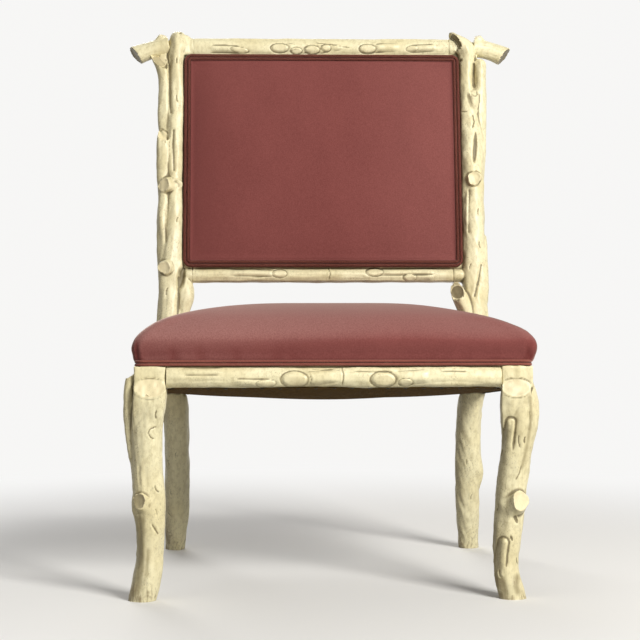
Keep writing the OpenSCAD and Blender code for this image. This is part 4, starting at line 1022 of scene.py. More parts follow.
def collar(t0, show):
    """End of a back rail's log that is carved on the right post itself."""
    r = show / 2
    points, faces = tube([[POST_INNER - 6, 0, t0 + r, r], [POST_INNER + 16, 0, t0 + r, r],
                          [STUB_ROOT - 14, 0, t0 + r, r - 2]], 40, squash=BACK_T / show, lumps=0.01)
    points[:, 0] = np.maximum(points[:, 0], POST_INNER)
    return on_back(points), faces


def post_core(side):
    """Block at the seat, rebated tongue and collars of a right post, mirrored for the left."""
    parts = [
        slab((POST_IN, POST_V0, -RAIL_SHOW), (POST_OUT, POST_V0 + POST_W, RAIL_LAND), on_seat),
        slab((POST_INNER, -LAND_N, LOW_T + 5), (POST_INNER + 54, LAND_N, CREST_T + CREST_SHOW - 6), on_back),
        collar(LOW_T, LOW_SHOW),
        collar(CREST_T, CREST_SHOW),
    ]
    return [mirrored(p) for p in parts] if side < 0 else parts


def back_coords(points):
    """Turns points of the chair into those of the leaning back."""
    c, s = math.cos(RAKE), math.sin(RAKE)
    y, z = points[:, 1] - BACK_Y, points[:, 2] - BEND_Z
    return np.stack([points[:, 0], y * c - z * s, y * s + z * c], 1)


def seat_coords(points):
    """Turns points of the chair into those of the sloping seat."""
    c, s = math.cos(SLOPE), math.sin(SLOPE)
    y, z = points[:, 1] - FRONT_Y, points[:, 2] - TACK_Z
    return np.stack([points[:, 0], y * c - z * s, y * s + z * c], 1)


def beside_upholstery(part, side):
    """Trims a post's branch flat where the padded back, the rails and the seat stand against it."""
    points, faces = part
    points = points.copy()
    b = back_coords(points)
    between = (b[:, 2] > LOW_T + LOW_SHOW) & (b[:, 2] < CREST_T)
    inner = np.where(between, PANEL_X + 2 * COVER_GAP, POST_INNER)
    reach = (b[:, 2] > LOW_T - 3) & (b[:, 2] < CREST_T + CREST_SHOW + 1)
    x = side * points[:, 0]
    points[:, 0] = side * np.where(reach & (x < inner), inner, x)
    q = seat_coords(points)
    at_seat = (q[:, 2] > -RAIL_SHOW - 50) & (q[:, 2] < RAIL_LAND + 45)
    below = 3 * np.maximum(0, -RAIL_SHOW - q[:, 2])
    q[:, 0] = side * np.where(at_seat, np.maximum(side * q[:, 0], POST_IN - below), side * q[:, 0])
    q[:, 1] = np.where(at_seat, np.maximum(q[:, 1], POST_V0 - below), q[:, 1])
    points[at_seat] = on_seat(q[at_seat])
    return points, faces


def post_carving(side, branches):
    """Rear leg and back post in one piece, before it is marked."""
    return Carving([beside_upholstery(part, side) for part in branches] + post_core(side))


def nick_post(c, face, heights, step, drop, angle):
    """Hollows and nicks down the outer side of a post."""
    for z in heights:
        c.hollow((axis_y(z) + 2, z), 13, 3.8, 79, 2.6, face)
        c.crescent((axis_y(z) + step, z - drop), 16, angle, face=face)


def finished_post(c, side):
    """Cuts a marked post flat at its foot and beside the padded back."""
    flat_foot(c)
    b = back_coords(c.points)
    near = (b[:, 2] > LOW_T + LOW_SHOW + 1) & (b[:, 2] < CREST_T - 1) & (np.abs(b[:, 1]) > LAND_N + 0.2)
    x = side * c.points[:, 0]
    edge = PANEL_X + COVER_GAP
    c.points[:, 0] = side * np.where(near & (x < edge) & (x > PANEL_X - 8), edge, x)
    return c.piece("carved_back_post_" + side_name(side))


def leg_below(side, foot_x):
    """Rear leg, from its foot into the back post."""
    return branch(side, [(-8, foot_x, 0, 18), (30, foot_x - 3, 0, 19), (90, foot_x - 6, 0, 22),
                         (180, foot_x - 7, 1, 22.5), (270, foot_x - 5, 0, 23),
                         (TACK_Z - 40, POST_X, -2, 24), (TACK_Z + 10, POST_X, 0, 25),
                         (LOW_Z - 60, POST_X - 2, 0, 24), (LOW_Z - 10, POST_X - 4, 0, 22)],
                  lumps=0.022, seed=side)


def back_post_left():
    side, x = -1, POST_X
    upper_knot = (-x - 2, axis_y(667) - 14, 667), (-0.55, -0.85, 0.1)
    lower_knot = (-x - 3, axis_y(519) - 14, 519), (-0.35, -1, -0.05)
    c = post_carving(side, [
        leg_below(side, x - 6),
        knot((-x - 8, axis_y(250) + 6, 250), (-1, 0.5, 0.4), 9, 20, seed=3),
        # main branch, up to its round top
        branch(side, [(LOW_Z - 40, x - 6, 1, 21), (lift(0.08), x - 5, -4, 21),
                      (lift(0.3), x - 8, -6, 17.5), (lift(0.5), x - 9, -6, 17),
                      (lift(0.66), x - 9, -6, 18), (lift(0.8), x - 11, -8, 14.5),
                      (lift(0.92), x - 11, -9, 13.5), (POST_HEAD - 4, x - 11, -8, 15.5),
                      (POST_TOP - 29, x - 14, -6, 18), (POST_TOP - 18, x - 13, -5, 17)],
               seed=1.2, dome1=True, lumps=0.03),
        # shoulder of its head, that runs into the crest rail
        branch(side, [(POST_HEAD - 24, x - 24, -5, 9), (POST_HEAD, x - 26, -5, 12.5),
                      (POST_TOP - 30, x - 26, -5, 13.5), (POST_TOP - 19, x - 25, -5, 13)],
               28, seed=2.2, dome1=True, lumps=0.02),
        # outer branch, that ends under the crest's branch end
        branch(side, [(lift(0.58), x + 4, 0, 14), (lift(0.7), x + 9, -4, 14), (lift(0.8), x + 11, -6, 12),
                      (lift(0.89), x + 12, -7, 11), (lift(0.94), x + 17, -8, 12),
                      (lift(0.965), x + 21, -10, 12)], seed=2, cut1=(0.3, -0.7, 0.6), lumps=0.035),
        # wood that closes the fork under the crest's branch end
        branch(side, [(lift(0.92), x + 6, 2, 9), (lift(0.975), x + 14, 4, 10.5),
                      (lift(1.02), x + 19, 5, 9)], 24, seed=6, dome1=True),
        # lower outer branch with its hacked end
        branch(side, [(LOW_Z - 62, x + 2, -4, 15), (LOW_Z - 10, x + 4, -7, 15),
                      (lift(0.12), x + 7, -5, 15), (lift(0.33), x + 9, -6, 14.5),
                      (lift(0.47), x + 12, -9, 13), (lift(0.57), x + 12, -13, 13),
                      (lift(0.632), x + 12, -15, 11)], seed=3, cut1=(0.25, -0.7, 0.6), lumps=0.05),
        # swelling branch under the lower rail
        branch(side, [(LOW_Z - 78, x - 16, -4, 8), (LOW_Z - 52, x - 25, -6, 11.5),
                      (LOW_Z - 24, x - 30, -7, 15), (LOW_Z - 2, x - 28, -3, 14),
                      (LOW_Z + 14, x - 22, 0, 11)], seed=4),
        knot(*upper_knot, 13, 16, seed=5, flare=1.3),
        knot((-x + 10, axis_y(668) - 11, 668), (0.2, -1, 0.1), 10, 13, seed=9, flare=1.7),
        knot(*lower_knot, 12, 17, seed=6, flare=1.5),
    ])
    c.groove([(-280, 912), (-281, 880), (-280, 840), (-277, 797)], 2.6, 2.4)
    c.crescent((-266, 900), 15, 86, 0.35)
    c.crescent((-265, 829), 17, 98, 0.4)
    c.hollow((-262, 951), 3.2, 2.4, 0, 3)
    c.groove([(-304, 764), (-293, 771), (-282, 763)], 1.6, 1.6)
    c.groove([(-272, 774), (-273, 740), (-271, 690)], 3.0, 2.6)
    c.crescent((-263, 605), 14, 70, 0.4)
    c.groove([(-286, 640), (-288, 600), (-284, 560)], 2.6, 0.9)
    c.hollow((-257, 501), 21, 8, 82, 6.5, lip=0.9)
    c.groove([(-264, 505), (-262, 465), (-264, 425)], 2.8, 2.8)
    c.crescent((-281, 475), 18, 80, 0.3)
    c.crescent((-266, 180), 16, 80, depth=0.8)
    c.crescent((-276, 110), 15, 100, depth=0.8)
    c.groove([(-262, 905), (-266, 800), (-262, 700)], 2.6, 3.2, "back", 0.5)
    c.hollow((-286, 640), 16, 4.5, 86, 3, "back")
    c.hollow((-276, 470), 15, 4.5, 94, 3, "back")
    c.crescent((-272, 560), 18, 75, face="back")
    c.crescent((-286, 760), 18, 100, face="back")
    c.hollow((-272, 200), 14, 4, 90, 2.8, "back")
    c.crescent((-266, 120), 16, 80, face="back")
    nick_post(c, "left", (860, 700, 590, 480, 210, 110), -6, 44, 70)
    c.age(2, 21)
    c.mark_sawn((-x - 21, axis_y(lift(0.965)) - 10, lift(0.965)), (0.3, -0.7, 0.6), 13, 1.45)
    c.mark_sawn((-x - 12, axis_y(lift(0.632)) - 15, lift(0.632)), (0.25, -0.7, 0.6), 14)
    c.mark_sawn(tip(*upper_knot, 16), upper_knot[1], 13, 0.7)
    c.mark_sawn(tip(*lower_knot, 17), lower_knot[1], 12, 0.7)
    # painted shade on the left sides of the branches and in the recess by the lower rail, with glaze in the
    # grooves
    c.stain_and_shade([(-279, 905), (-280, 860), (-276, 810)], 3.5, 0.35)
    c.stain_and_shade([(-301, 745), (-300, 700), (-301, 690)], 4, 0.5)
    c.stain_and_shade([(-284, 945), (-283, 925), (-281, 905)], 4, 0.45)
    c.stain_and_shade([(-304, 640), (-305, 590), (-302, 540)], 3.5, 0.4)
    c.stain_and_shade([(-298, 500), (-299, 460), (-300, 420)], 3.5, 0.35)
    c.stain_and_shade([(-304, 769), (-294, 773), (-284, 765)], 2.5, 0.8)
    c.stain_and_shade([(-257, 522), (-256, 500), (-257, 482)], 6, 1.2)
    c.stain_and_shade([(-271, 772), (-272, 740), (-271, 690)], 3, 0.5)
    return finished_post(c, side)


def back_post_right():
    side, x = 1, POST_X
    hook = (-0.85, -0.4, -0.35)
    upper_knot = (x - 4, axis_y(680) - 18, 680), (0.05, -1, 0.1)
    c = post_carving(side, [
        leg_below(side, x - 7),
        # low swelling outside the leg
        branch(side, [(116, x - 6, 0, 15), (136, x - 1.5, -2, 15.5), (150, x, -3, 15.5),
                      (172, x - 5, -1, 15.5), (196, x - 8, 0, 15)], seed=3, dome0=True, dome1=True),
        # inner branch that hooks over the crest rail
        branch(side, [(LOW_Z - 40, x - 6, 1, 21), (lift(0.08), x - 4, -4, 21),
                      (lift(0.25), x - 4, -6, 22), (lift(0.45), x - 4, -7, 22),
                      (lift(0.62), x - 4, -7, 21.5), (lift(0.7), x - 7, -7, 18.5),
                      (lift(0.78), x - 9, -8, 16.5), (lift(0.88), x - 11, -9, 12.5),
                      (POST_HEAD - 18, x - 10, -10, 13.5), (POST_HEAD + 4, x - 10, -12, 16.5),
                      (POST_HEAD + 15, x - 19, -14, 16.5), (POST_HEAD + 20, x - 30, -15, 16)],
               seed=1.7, cut1=hook, lumps=0.022),
        # outer branch with its rounded end
        branch(side, [(lift(0.46), x + 4, 1, 15), (lift(0.6), x + 8, 0, 16),
                      (lift(0.72), x + 12, -3, 14.5), (lift(0.82), x + 13, -6, 13.5),
                      (lift(0.9), x + 14, -7, 12.5), (lift(0.95), x + 15, -8, 12)],
               seed=2, dome1=True, lumps=0.04),
        # small stub in the fork
        branch(side, [(lift(0.72), x - 1, -12, 9), (lift(0.79), x + 0.5, -21, 9.5),
                      (lift(0.83), x + 1, -24, 9)], 24, seed=4, cut1=(0.1, -0.75, 0.6)),
        # thin inner branch between the rails
        branch(side, [(lift(0.14), x - 8, -10, 9), (lift(0.26), x - 11, -17, 11),
                      (lift(0.37), x - 10, -17, 10.5), (lift(0.43), x - 8, -10, 8)], 24, seed=5),
        # sawn stub under the lower rail
        branch(side, [(LOW_Z - 88, x - 8, -1, 15), (LOW_Z - 54, x - 18, -7, 17),
                      (LOW_Z - 32, x - 29, -15, 15), (LOW_Z - 17, x - 37.5, -24, 13)],
               32, seed=6, cut1=(-0.42, -0.9, 0.1)),
        # outer branch beside the lower rail
        branch(side, [(LOW_Z - 60, x + 2, -2, 15), (LOW_Z - 10, x + 7, -5, 15),
                      (lift(0.1), x + 8, -3, 14), (lift(0.2), x + 8, -3, 13)], 28, seed=7),
        knot(*upper_knot, 12.5, 18, seed=8, flare=1.3),
    ])
    c.groove([(281, 900), (283, 875), (281, 850)], 3.2, 4.5)
    c.hollow((257.5, 902), 4.2, 3, 60, 3.2, lip=1.0)
    c.groove([(286, 846), (289, 826), (285, 806)], 2.4, 1.8)
    c.groove([(254, 806), (262, 805), (270, 806)], 1.4, 2.6)
    c.groove([(276, 802), (279, 786), (275, 772)], 1.7, 2.4)
    c.hollow((279, 739), 31, 4.6, 86, 3.6, lip=0.8)
    c.groove([(268, 664), (266, 630), (265, 578)], 2.6, 2.4)
    c.crescent((284, 620), 18, 84, 0.3)
    c.crescent((286, 560), 16, 100, 0.4)
    c.groove([(287, 528), (281, 495), (272, 462)], 2.8, 2.6)
    c.crescent((268, 520), 16, 75)
    c.crescent((262, 165), 16, 96, depth=0.8)
    c.crescent((272, 100), 15, 80, depth=0.8)
    c.groove([(268, 900), (262, 810), (268, 720)], 2.6, 3.2, "back", 0.5)
    c.hollow((284, 650), 16, 4.5, 92, 3, "back")
    c.hollow((272, 480), 15, 4.5, 86, 3, "back")
    c.crescent((278, 570), 18, 100, face="back")
    c.crescent((284, 770), 18, 78, face="back")
    c.hollow((270, 230), 14, 4, 90, 2.8, "back")
    c.crescent((272, 130), 16, 100, face="back")
    nick_post(c, "right", (840, 720, 620, 470, 260, 130), 7, 40, 100)
    c.age(2, 22)
    # the hook and the stub under the lower rail face left, from the light: their dark faces are painted shade
    c.mark_sawn((x - 30, axis_y(POST_HEAD + 20) - 15, POST_HEAD + 20), hook, 17, 1.7)
    c.mark_sawn((x - 37.5, axis_y(LOW_Z - 17) - 24, LOW_Z - 17), (-0.42, -0.9, 0.1), 11.5, 1.7)
    c.mark_sawn(tip(*upper_knot, 18), upper_knot[1], 12, 0.7)
    # painted shade on the left sides of the branches, with glaze in the grooves
    c.stain_and_shade([(258, 900), (261, 860), (262, 820)], 4, 0.4)
    c.stain_and_shade([(263, 790), (264, 740), (264, 700)], 3, 0.3)
    c.stain_and_shade([(296, 640), (296, 600), (294, 560)], 4, 0.35)
    c.stain_and_shade([(262, 560), (262, 530)], 3, 0.35)
    c.stain_and_shade([(280, 905), (282, 880), (281, 852)], 3, 0.5)
    return finished_post(c, side)


def held_between(carving, low, high, axis=0):
    """Trims a rail's two ends flat."""
    carving.points[:, axis] = np.clip(carving.points[:, axis], low, high)


def front_seat_rail():
    r = RAIL_SHOW / 2
    half = LEG_IN - JOINT_GAP
    parts = [
        slab((-half, LAND_IN, -2), (half, RAIL_T, RAIL_LAND)),
        slab((-half, 10, -RAIL_SHOW + 1.5), (half, RAIL_T, 0)),
        tube([[-half - 8, 12, -r, r], [-150, 12, -r, r], [-60, 13, -r, r - 0.5], [20, 12, -r, r],
              [130, 12, -r, r], [half + 8, 12, -r, r]], 44, squash=0.8, lumps=0.02, seed=0.3),
    ]
    c = Carving(parts)
    c.twig([(-158, -25), (-125, -26), (-98, -26)], 4.5, 2.2)
    c.sawn_oval((-106, -26.5), 14, 5.2, 3, 1.0, moat=1.0)
    c.twig([(-50, -20), (-22, -18), (8, -14)], 8, 2.2)
    c.sawn_oval((-62, -20.5), 19, 11.5, 0, 1.8)
    c.groove([(-40, -32), (-36, -21), (-40, -9)], 1.2, 1.6, lip=0.9)
    c.groove([(-38, -5), (-12, -6), (12, -7)], 1.1, 1.1)
    c.groove([(12, -1), (13.5, -16), (12, -32)], 1.1, 1.8, lip=1.0)
    c.twig([(90, -19), (118, -18), (150, -16)], 8, 2.0)
    c.sawn_oval((76, -21), 18, 11, 0, 1.8)
    c.sawn_oval((111, -25.5), 10, 5.5, 0, 1.3, moat=1.1)
    c.twig([(22, -4), (60, -5), (98, -5)], 3.2, 1.5)
    c.twig([(160, -4), (185, -4), (214, -5)], 3.6, 1.8)
    c.twig([(-240, -8), (-205, -9), (-172, -8)], 4, 1.5)
    c.groove([(-225, -24), (-195, -22), (-165, -23)], 1.2, 0.6)
    c.groove([(150, -26), (185, -24), (235, -27)], 1.2, 0.6)
    c.age(0, 31, 0.3)
    held_between(c, -half, half)
    return c.piece("carved_front_rail", on_seat)


def side_seat_rail(side, twigs, seed):
    """Side rail, modelled for the right and mirrored for the left. A twig is its v, w, radius and run."""
    r = RAIL_SHOW / 2
    v0, v1 = LEG_W + JOINT_GAP, POST_V0 - JOINT_GAP

    def plan(d):
        return [(out_x(v0) - RAIL_T, v0), (out_x(v0) - d, v0), (out_x(v1) - d, v1), (out_x(v1) - RAIL_T, v1)]

    parts = [prism(plan(LAND_IN), -2, RAIL_LAND), prism(plan(10), -RAIL_SHOW + 1.5, 0),
             tube([[out_x(v0) - 12, v0 - 6, -r, r], [out_x(v0) - 12, v0 + 120, -r, r],
                   [out_x(v1) - 12, v1 - 100, -r, r], [out_x(v1) - 12, v1 + 6, -r, r]],
                  40, across=(1, 0, 0), squash=0.72, lumps=0.02, seed=seed)]
    for v, w, radius, run in twigs:
        way = math.copysign(0.7, run)
        parts.append(tube([[out_x(v) - 8, v, w, radius - 3], [out_x(v) - 3, v + run / 2, w - 1, radius],
                           [out_x(v) - 1, v + run, w - 1, radius]],
                          24, across=(1, 0, 0), seed=v, cut1=(0.7, way, 0)))
    c = Carving(parts)
    for k, v in enumerate((90, 185, 300, 400)):
        c.groove([(v - 30, -10 - 3 * (k % 2)), (v, -12), (v + 32, -9 + 2 * (k % 2))], 1.3, 1.8, "right")
        c.crescent((v + 46, -20), 13, 20 + 50 * (k % 2), 0.35, face="right")
    for v, w, radius, run in twigs:
        c.mark_sawn((out_x(v) - 1, v + run, w - 1), (0.7, math.copysign(0.7, run), 0), radius + 2)
    c.age(1, 40 + seed, 0.3)
    held_between(c, v0, v1, axis=1)
    if side < 0:
        c.mirror()
    return c.piece("carved_side_rail_" + side_name(side), on_seat)


def rear_seat_rail():
    r = RAIL_SHOW / 2
    half = POST_IN - JOINT_GAP
    back = REAR_V1 - 10
    parts = [
        slab((-half, REAR_V0, -RAIL_SHOW + 1.5), (half, REAR_V1 - 8, RAIL_LAND)),
        tube([[-half - 8, back, -r, r], [-90, back, -r, r], [80, back, -r, r], [half + 8, back, -r, r]],
             40, squash=0.75, lumps=0.02, seed=4),
        tube([[120, REAR_V1 - 6, -20, 8], [95, REAR_V1, -20, 11], [70, REAR_V1 + 4, -19, 11]],
             24, seed=5, cut1=(-0.6, 0.8, 0)),
        tube([[-140, REAR_V1 - 6, -16, 6], [-100, REAR_V1 + 1, -14, 9], [-75, REAR_V1 + 3, -14, 9]],
             24, seed=6, cut1=(0.6, 0.8, 0)),
    ]
    c = Carving(parts)
    for x in (-190, -40, 20, 170):
        c.groove([(x - 40, -10), (x, -13), (x + 44, -9)], 1.3, 1.8, "back")
        c.crescent((x + 34, -22), 13, 25, 0.35, face="back")
    c.mark_sawn((70, REAR_V1 + 4, -19), (-0.6, 0.8, 0), 13)
    c.mark_sawn((-75, REAR_V1 + 3, -14), (0.6, 0.8, 0), 11)
    c.age(0, 51, 0.3)
    held_between(c, -half, half)
    return c.piece("carved_rear_rail", on_seat)


# Half the length of a rail of the back
BACK_RAIL_HALF = POST_INNER - JOINT_GAP

# The crest rail's marks are measured up from this far below its top
CREST_DRAWN = 34.5


def back_rail(t0, show, up, base, seed):
    """Rail of the back: carved log with the rebate that the padded panel is tacked to."""
    r = show / 2
    half = BACK_RAIL_HALF
    rebate = (t0 + show - 4, t0 + show + 18) if up else (t0 - 18, t0 + 4)
    return Carving([
        slab((-half, -10, t0 + 1.5), (half, 10, t0 + show - 1.5)),
        slab((-half, -LAND_N, rebate[0]), (half, LAND_N, rebate[1])),
        tube([[-half - 8, 0, t0 + r, r], [-118, 0, t0 + r, r - 0.5], [-24, 0, t0 + r, r],
              [111, 0, t0 + r, r - 0.5], [half + 8, 0, t0 + r, r]],
             44, squash=BACK_T / show, lumps=0.015, seed=seed),
    ], base)


def finished_back_rail(c, name, seed):
    """Ages a marked rail of the back and cuts it flat between the posts."""
    c.age(0, seed, 0.3)
    held_between(c, -BACK_RAIL_HALF, BACK_RAIL_HALF)
    return c.piece(name, on_back)


def lower_back_rail():
    c = back_rail(LOW_T, LOW_SHOW, True, LOW_T, 1)
    c.twig([(-172, 16), (-125, 16), (-84, 14)], 4.8, 2.2)
    c.sawn_oval((-79, 14), 12, 7, 0, 1.5)
    c.twig([(-138, 4), (-118, 4), (-100, 5)], 2.6, 1.5)
    c.twig([(98, 17), (150, 17), (208, 18)], 4.8, 2.2)
    c.sawn_oval((93, 17), 14, 7.5, 0, 1.5)
    c.twig([(158, 7), (180, 7), (204, 8)], 4, 1.6)
    c.sawn_oval((157, 7), 11, 6, 0, 1.3)
    c.groove([(9, 1), (12, 13), (9, 25)], 1.1, 1.8, lip=1.0)
    c.groove([(-215, 12), (-195, 10), (-172, 11)], 1.1, 0.7)
    c.groove([(-60, 12), (-30, 10), (-4, 12)], 1.1, 0.7)
    c.groove([(22, 8), (50, 10), (76, 8)], 1.1, 0.7)
    c.twig([(-200, 14), (-120, 11), (-60, 15)], 5, 2, "back")
    c.crescent((60, 13), 15, 30, face="back")
    c.sawn_oval((130, 14), 12, 7, 0, face="back")
    return finished_back_rail(c, "carved_lower_back_rail", 61)


def crest_rail():
    c = back_rail(CREST_T, CREST_SHOW, False, CREST_T + CREST_SHOW - CREST_DRAWN, 2)
    c.twig([(-210, 11), (-178, 11), (-148, 9)], 4.8, 2.2)
    c.sawn_oval((-152, 9), 15, 4.6, -6, 1.0, moat=1.0)
    c.groove([(-14, 23), (20, 19), (54, 13)], 1.1, 1.5, lip=0.5)
    c.twig([(96, 13), (122, 15), (146, 15)], 6, 1.6)
    c.twig([(160, 12), (186, 13), (216, 15)], 4.8, 2.2)
    c.sawn_oval((168, 12), 10, 4.8, 4, 1.0, moat=1.0)
    c.groove([(-215, 22), (-180, 20), (-130, 21)], 1.1, 0.6)
    c.twig([(-200, 14), (-120, 17), (-60, 12)], 5, 2, "back")
    c.crescent((70, 13), 15, 140, face="back")
    c.sawn_oval((140, 13), 12, 7, 0, face="back")
    for x, t, half_len, half_width in ((-78, 13, 15, 7.5), (-47, 8, 9.5, 5), (-18, 10, 13, 7),
                                       (8, 13, 8.5, 6), (85, 12, 14, 7.5)):
        c.twig([(x + 6, t), (x + 18, t + 1), (x + 34, t + 3)], half_width * 0.7, 1.5)
        c.sawn_oval((x, t), half_len, half_width, 0, 1.5)
    return finished_back_rail(c, "carved_crest_rail", 62)


def crest_stub(side, twig_from, seed):
    """Thick branch end beside the crest rail, with a small sawn twig on top of it."""
    droop, y0 = STUB_DROOP, axis_y(STUB_Z)

    def place(p):
        c, s = math.cos(droop), math.sin(droop)
        out = side * p[:, 0]
        return np.stack([side * (STUB_ROOT + out * c + p[:, 2] * s), y0 + p[:, 1],
                         STUB_Z - out * s + p[:, 2] * c], 1)

    end, twig_end = (1, -0.3, -0.45), (-0.5, -0.3, 0.8)
    reach = 66 if side < 0 else 62
    parts = [tube([[0.3, 0, 0, 17.5], [33, 0, 1, 16.5], [reach, 0, -2, 18]],
                  40, across=(0, 0, 1), lumps=0.02, seed=seed, cut1=end),
             tube([[twig_from + 26, 0, 6, 5], [twig_from + 10, -2, 14, 8], [twig_from, -2, 22, 8]],
                  24, seed=seed, cut1=twig_end)]
    c = Carving(parts)
    c.groove([(10, 7), (28, 9), (48, 6)], 1.2, 0.9)
    c.groove([(22, -7), (34, -6), (52, -8)], 1.2, 0.8)
    c.groove([(8, 3), (30, 6), (50, 1)], 1.2, 1.2, "back")
    c.age(0, 70 + seed, 0.25)
    c.points[:, 0] = np.maximum(c.points[:, 0], 0.2)
    # the dark end face is partly glaze, partly painted shade
    c.mark_sawn((reach, 0, -2), end, 20, 1.8)
    c.mark_sawn((twig_from, -2, 22), twig_end, 9)
    if side < 0:
        c.mirror()
    return c.piece("carved_crest_end_" + side_name(side), place)


# Upholstery

# Seat cushion: how far it stands inside the frame, its front and rear edge, its heights and corners
CORD_IN = 4.8 + COVER_GAP
COVER_V0 = CORD_IN
COVER_V1 = REAR_V1 - 8 + COVER_GAP + 1.6
BORDER_H, CROWN_H = 45, 112
CORNER_R, SIDE_POINTS = 13, 22


def seat_plan(d):
    """Plan of the cushion's outer face at the tack line, pushed out by d, as a closed anticlockwise loop."""
    r = CORNER_R + d
    xf = HALF_W - CORD_IN + d - r
    xr = out_x(COVER_V1) - CORD_IN + d - r
    vf, vr = COVER_V0 - d + r, COVER_V1 + d - r
    arc = np.linspace(0, 1, 9)
    half = [(x, COVER_V0 - d) for x in np.linspace(0, xf, SIDE_POINTS, endpoint=False)[1:]]
    half += [(xf + r * math.sin(a * math.pi / 2), vf - r * math.cos(a * math.pi / 2)) for a in arc]
    half += [(float(out_x(v)) - CORD_IN + d, v) for v in np.linspace(vf, vr, SIDE_POINTS)[1:-1]]
    half += [(xr + r * math.cos(a * math.pi / 2), vr + r * math.sin(a * math.pi / 2)) for a in arc]
    half += [(x, COVER_V1 + d) for x in np.linspace(xr, 0, SIDE_POINTS)[1:-1]]
    right = np.array(half)
    left = right[::-1] * [-1, 1]
    return np.vstack([[(0, COVER_V0 - d)], right, [(0, COVER_V1 + d)], left])


def crown(f, power, root=0.5):
    """Height of a domed shape over a share of the way from its middle to its edge."""
    return np.maximum(0, 1 - f ** power) ** root


def corner_stretch(w, right):
    """How far the cushion's front corners swell at a height, more on the right."""
    return np.where(right, 1.6, 1.2) * np.interp(w, [0, 5, 16, 30, 48], [0, 4.8, 6.2, 5.2, 0])


def cushion_rings():
    """Outer face of the seat cushion as rings, from the line of tacks up over the crown."""
    middle = np.array([0, (COVER_V0 + COVER_V1) / 2])
    rings = [(-1.5, 1.0, 1.0), (-0.5, 1.0, 7), (3.0, 1.0, 14), (6.2, 1.0, 22), (8.4, 1.0, 31), (9.0, 1.0, 39)]
    for f in np.concatenate([np.linspace(0.996, 0.9, 9), np.linspace(0.86, 0.05, 16)]):
        rings.append((8.2, f, BORDER_H - 3 + (CROWN_H - BORDER_H) * crown(f, 2.25, 0.6)))
    out = []
    for d, f, w in rings:
        plan = middle + f * (seat_plan(d) - middle)
        plan[:, 0] += 0.35 * d * ease(plan[:, 0], 220, 320)
        corner = ease(np.abs(plan[:, 0]), 255, 300) * (1 - ease(plan[:, 1], 12, 60))
        plan[:, 0] += np.sign(plan[:, 0]) * corner * corner_stretch(w, plan[:, 0] > 0)
        low = 3.6 * ease(plan[:, 0], 110, 230) * (1 - ease(plan[:, 0], 285, 312)) * (w > BORDER_H)
        out.append(np.column_stack([plan, w - low]))
    return out


def remeshed(points, faces, step):
    obj = new_object("padding", mesh_of("padding", points, faces))
    mod = obj.modifiers.new("Even", "REMESH")
    mod.mode = "VOXEL"
    mod.voxel_size = step
    return new_object("padding", settled(obj))


# How long the cloth simulation runs
STUFFING_FRAMES = 20


def stuffed(obj, held, cap):
    """Blows a closed cover up from inside, held where it is tacked. No point moves further than cap."""
    before = coordinates(obj.data)
    group = obj.vertex_groups.new(name="tacked")
    for i, weight in enumerate(held(before)):
        if weight > 0:
            group.add([i], float(weight), "REPLACE")
    mod = obj.modifiers.new("Stuffing", "CLOTH")
    fabric = mod.settings
    fabric.quality = 6
    fabric.mass = 0.3
    fabric.tension_stiffness = fabric.compression_stiffness = 18
    fabric.shear_stiffness = 8
    fabric.bending_stiffness = 1.2
    fabric.use_pressure = True
    fabric.uniform_pressure_force = sizes().pressure
    fabric.effector_weights.gravity = 0
    fabric.vertex_group_mass = "tacked"
    mod.collision_settings.use_collision = False
    mod.collision_settings.use_self_collision = False
    mod.point_cache.frame_start, mod.point_cache.frame_end = 1, STUFFING_FRAMES
    scene = bpy.context.scene
    for frame_number in range(1, STUFFING_FRAMES + 1):
        scene.frame_set(frame_number)
    graph = bpy.context.evaluated_depsgraph_get()
    after = coordinates(obj.evaluated_get(graph).data)
    obj.modifiers.remove(mod)
    scene.frame_set(1)
    moved = after - before
    far = np.linalg.norm(moved, axis=1, keepdims=True)
    return before + moved * np.minimum(1, cap / np.maximum(far, 1e-9))


class Padding(Surface):
    """A stuffed cover after its simulation: pleats are pressed in, then it is subdivided once."""

    def __init__(self, obj, points):
        super().__init__(obj.data, points / MM)
        self.obj = obj
        self.fold_shade = np.zeros(len(self.points))

    def pleat(self, line, width, depth):
        """Presses a fold into the cover along a line of points, deepest where it is tacked."""
        line = np.asarray(line, float)
        normals = self.normals()
        best, share = np.full(len(self.points), 1e9), np.zeros(len(self.points))
        for k, (a, b) in enumerate(zip(line[:-1], line[1:])):
            u = np.clip((self.points - a) @ (b - a) / ((b - a) @ (b - a)), 0, 1)
            away = self.points - a - u[:, None] * (b - a)
            high = np.clip(np.einsum("ij,ij->i", away, normals), -7, 7)
            d = np.linalg.norm(away - high[:, None] * normals, axis=1)
            near = d < best
            best = np.where(near, d, best)
            share = np.where(near, (k + u) / (len(line) - 1), share)
        fold = np.exp(-(best / width) ** 2) - 0.4 * np.exp(-((best - 2.2 * width) / width) ** 2)
        self.points -= normals * (depth * fold * (1 - share) ** 0.8)[:, None]
        # painted shade in the fold, darkest where it is tacked
        dark = min(1, depth / 4) * np.exp(-(best / (1.2 * width)) ** 2) * (1 - share) ** 0.5
        self.fold_shade = np.maximum(self.fold_shade, dark)

    def finished(self, name, nap):
        """The cover as an object, with its painted light: above 0 the velvet is painted lighter where light
        falls on it, below 0 it is painted darker in shade.
        """
        mesh = self.obj.data
        add_layers(mesh, nap=nap, crease=self.fold_shade)
        mesh.vertices.foreach_set("co", (self.points * MM).ravel())
        mesh.update()
        mod = self.obj.modifiers.new("Smooth", "SUBSURF")
        mod.levels = mod.render_levels = 1
        done = new_object(name, settled(self.obj, name))
        shade_smooth(done.data)
        return done


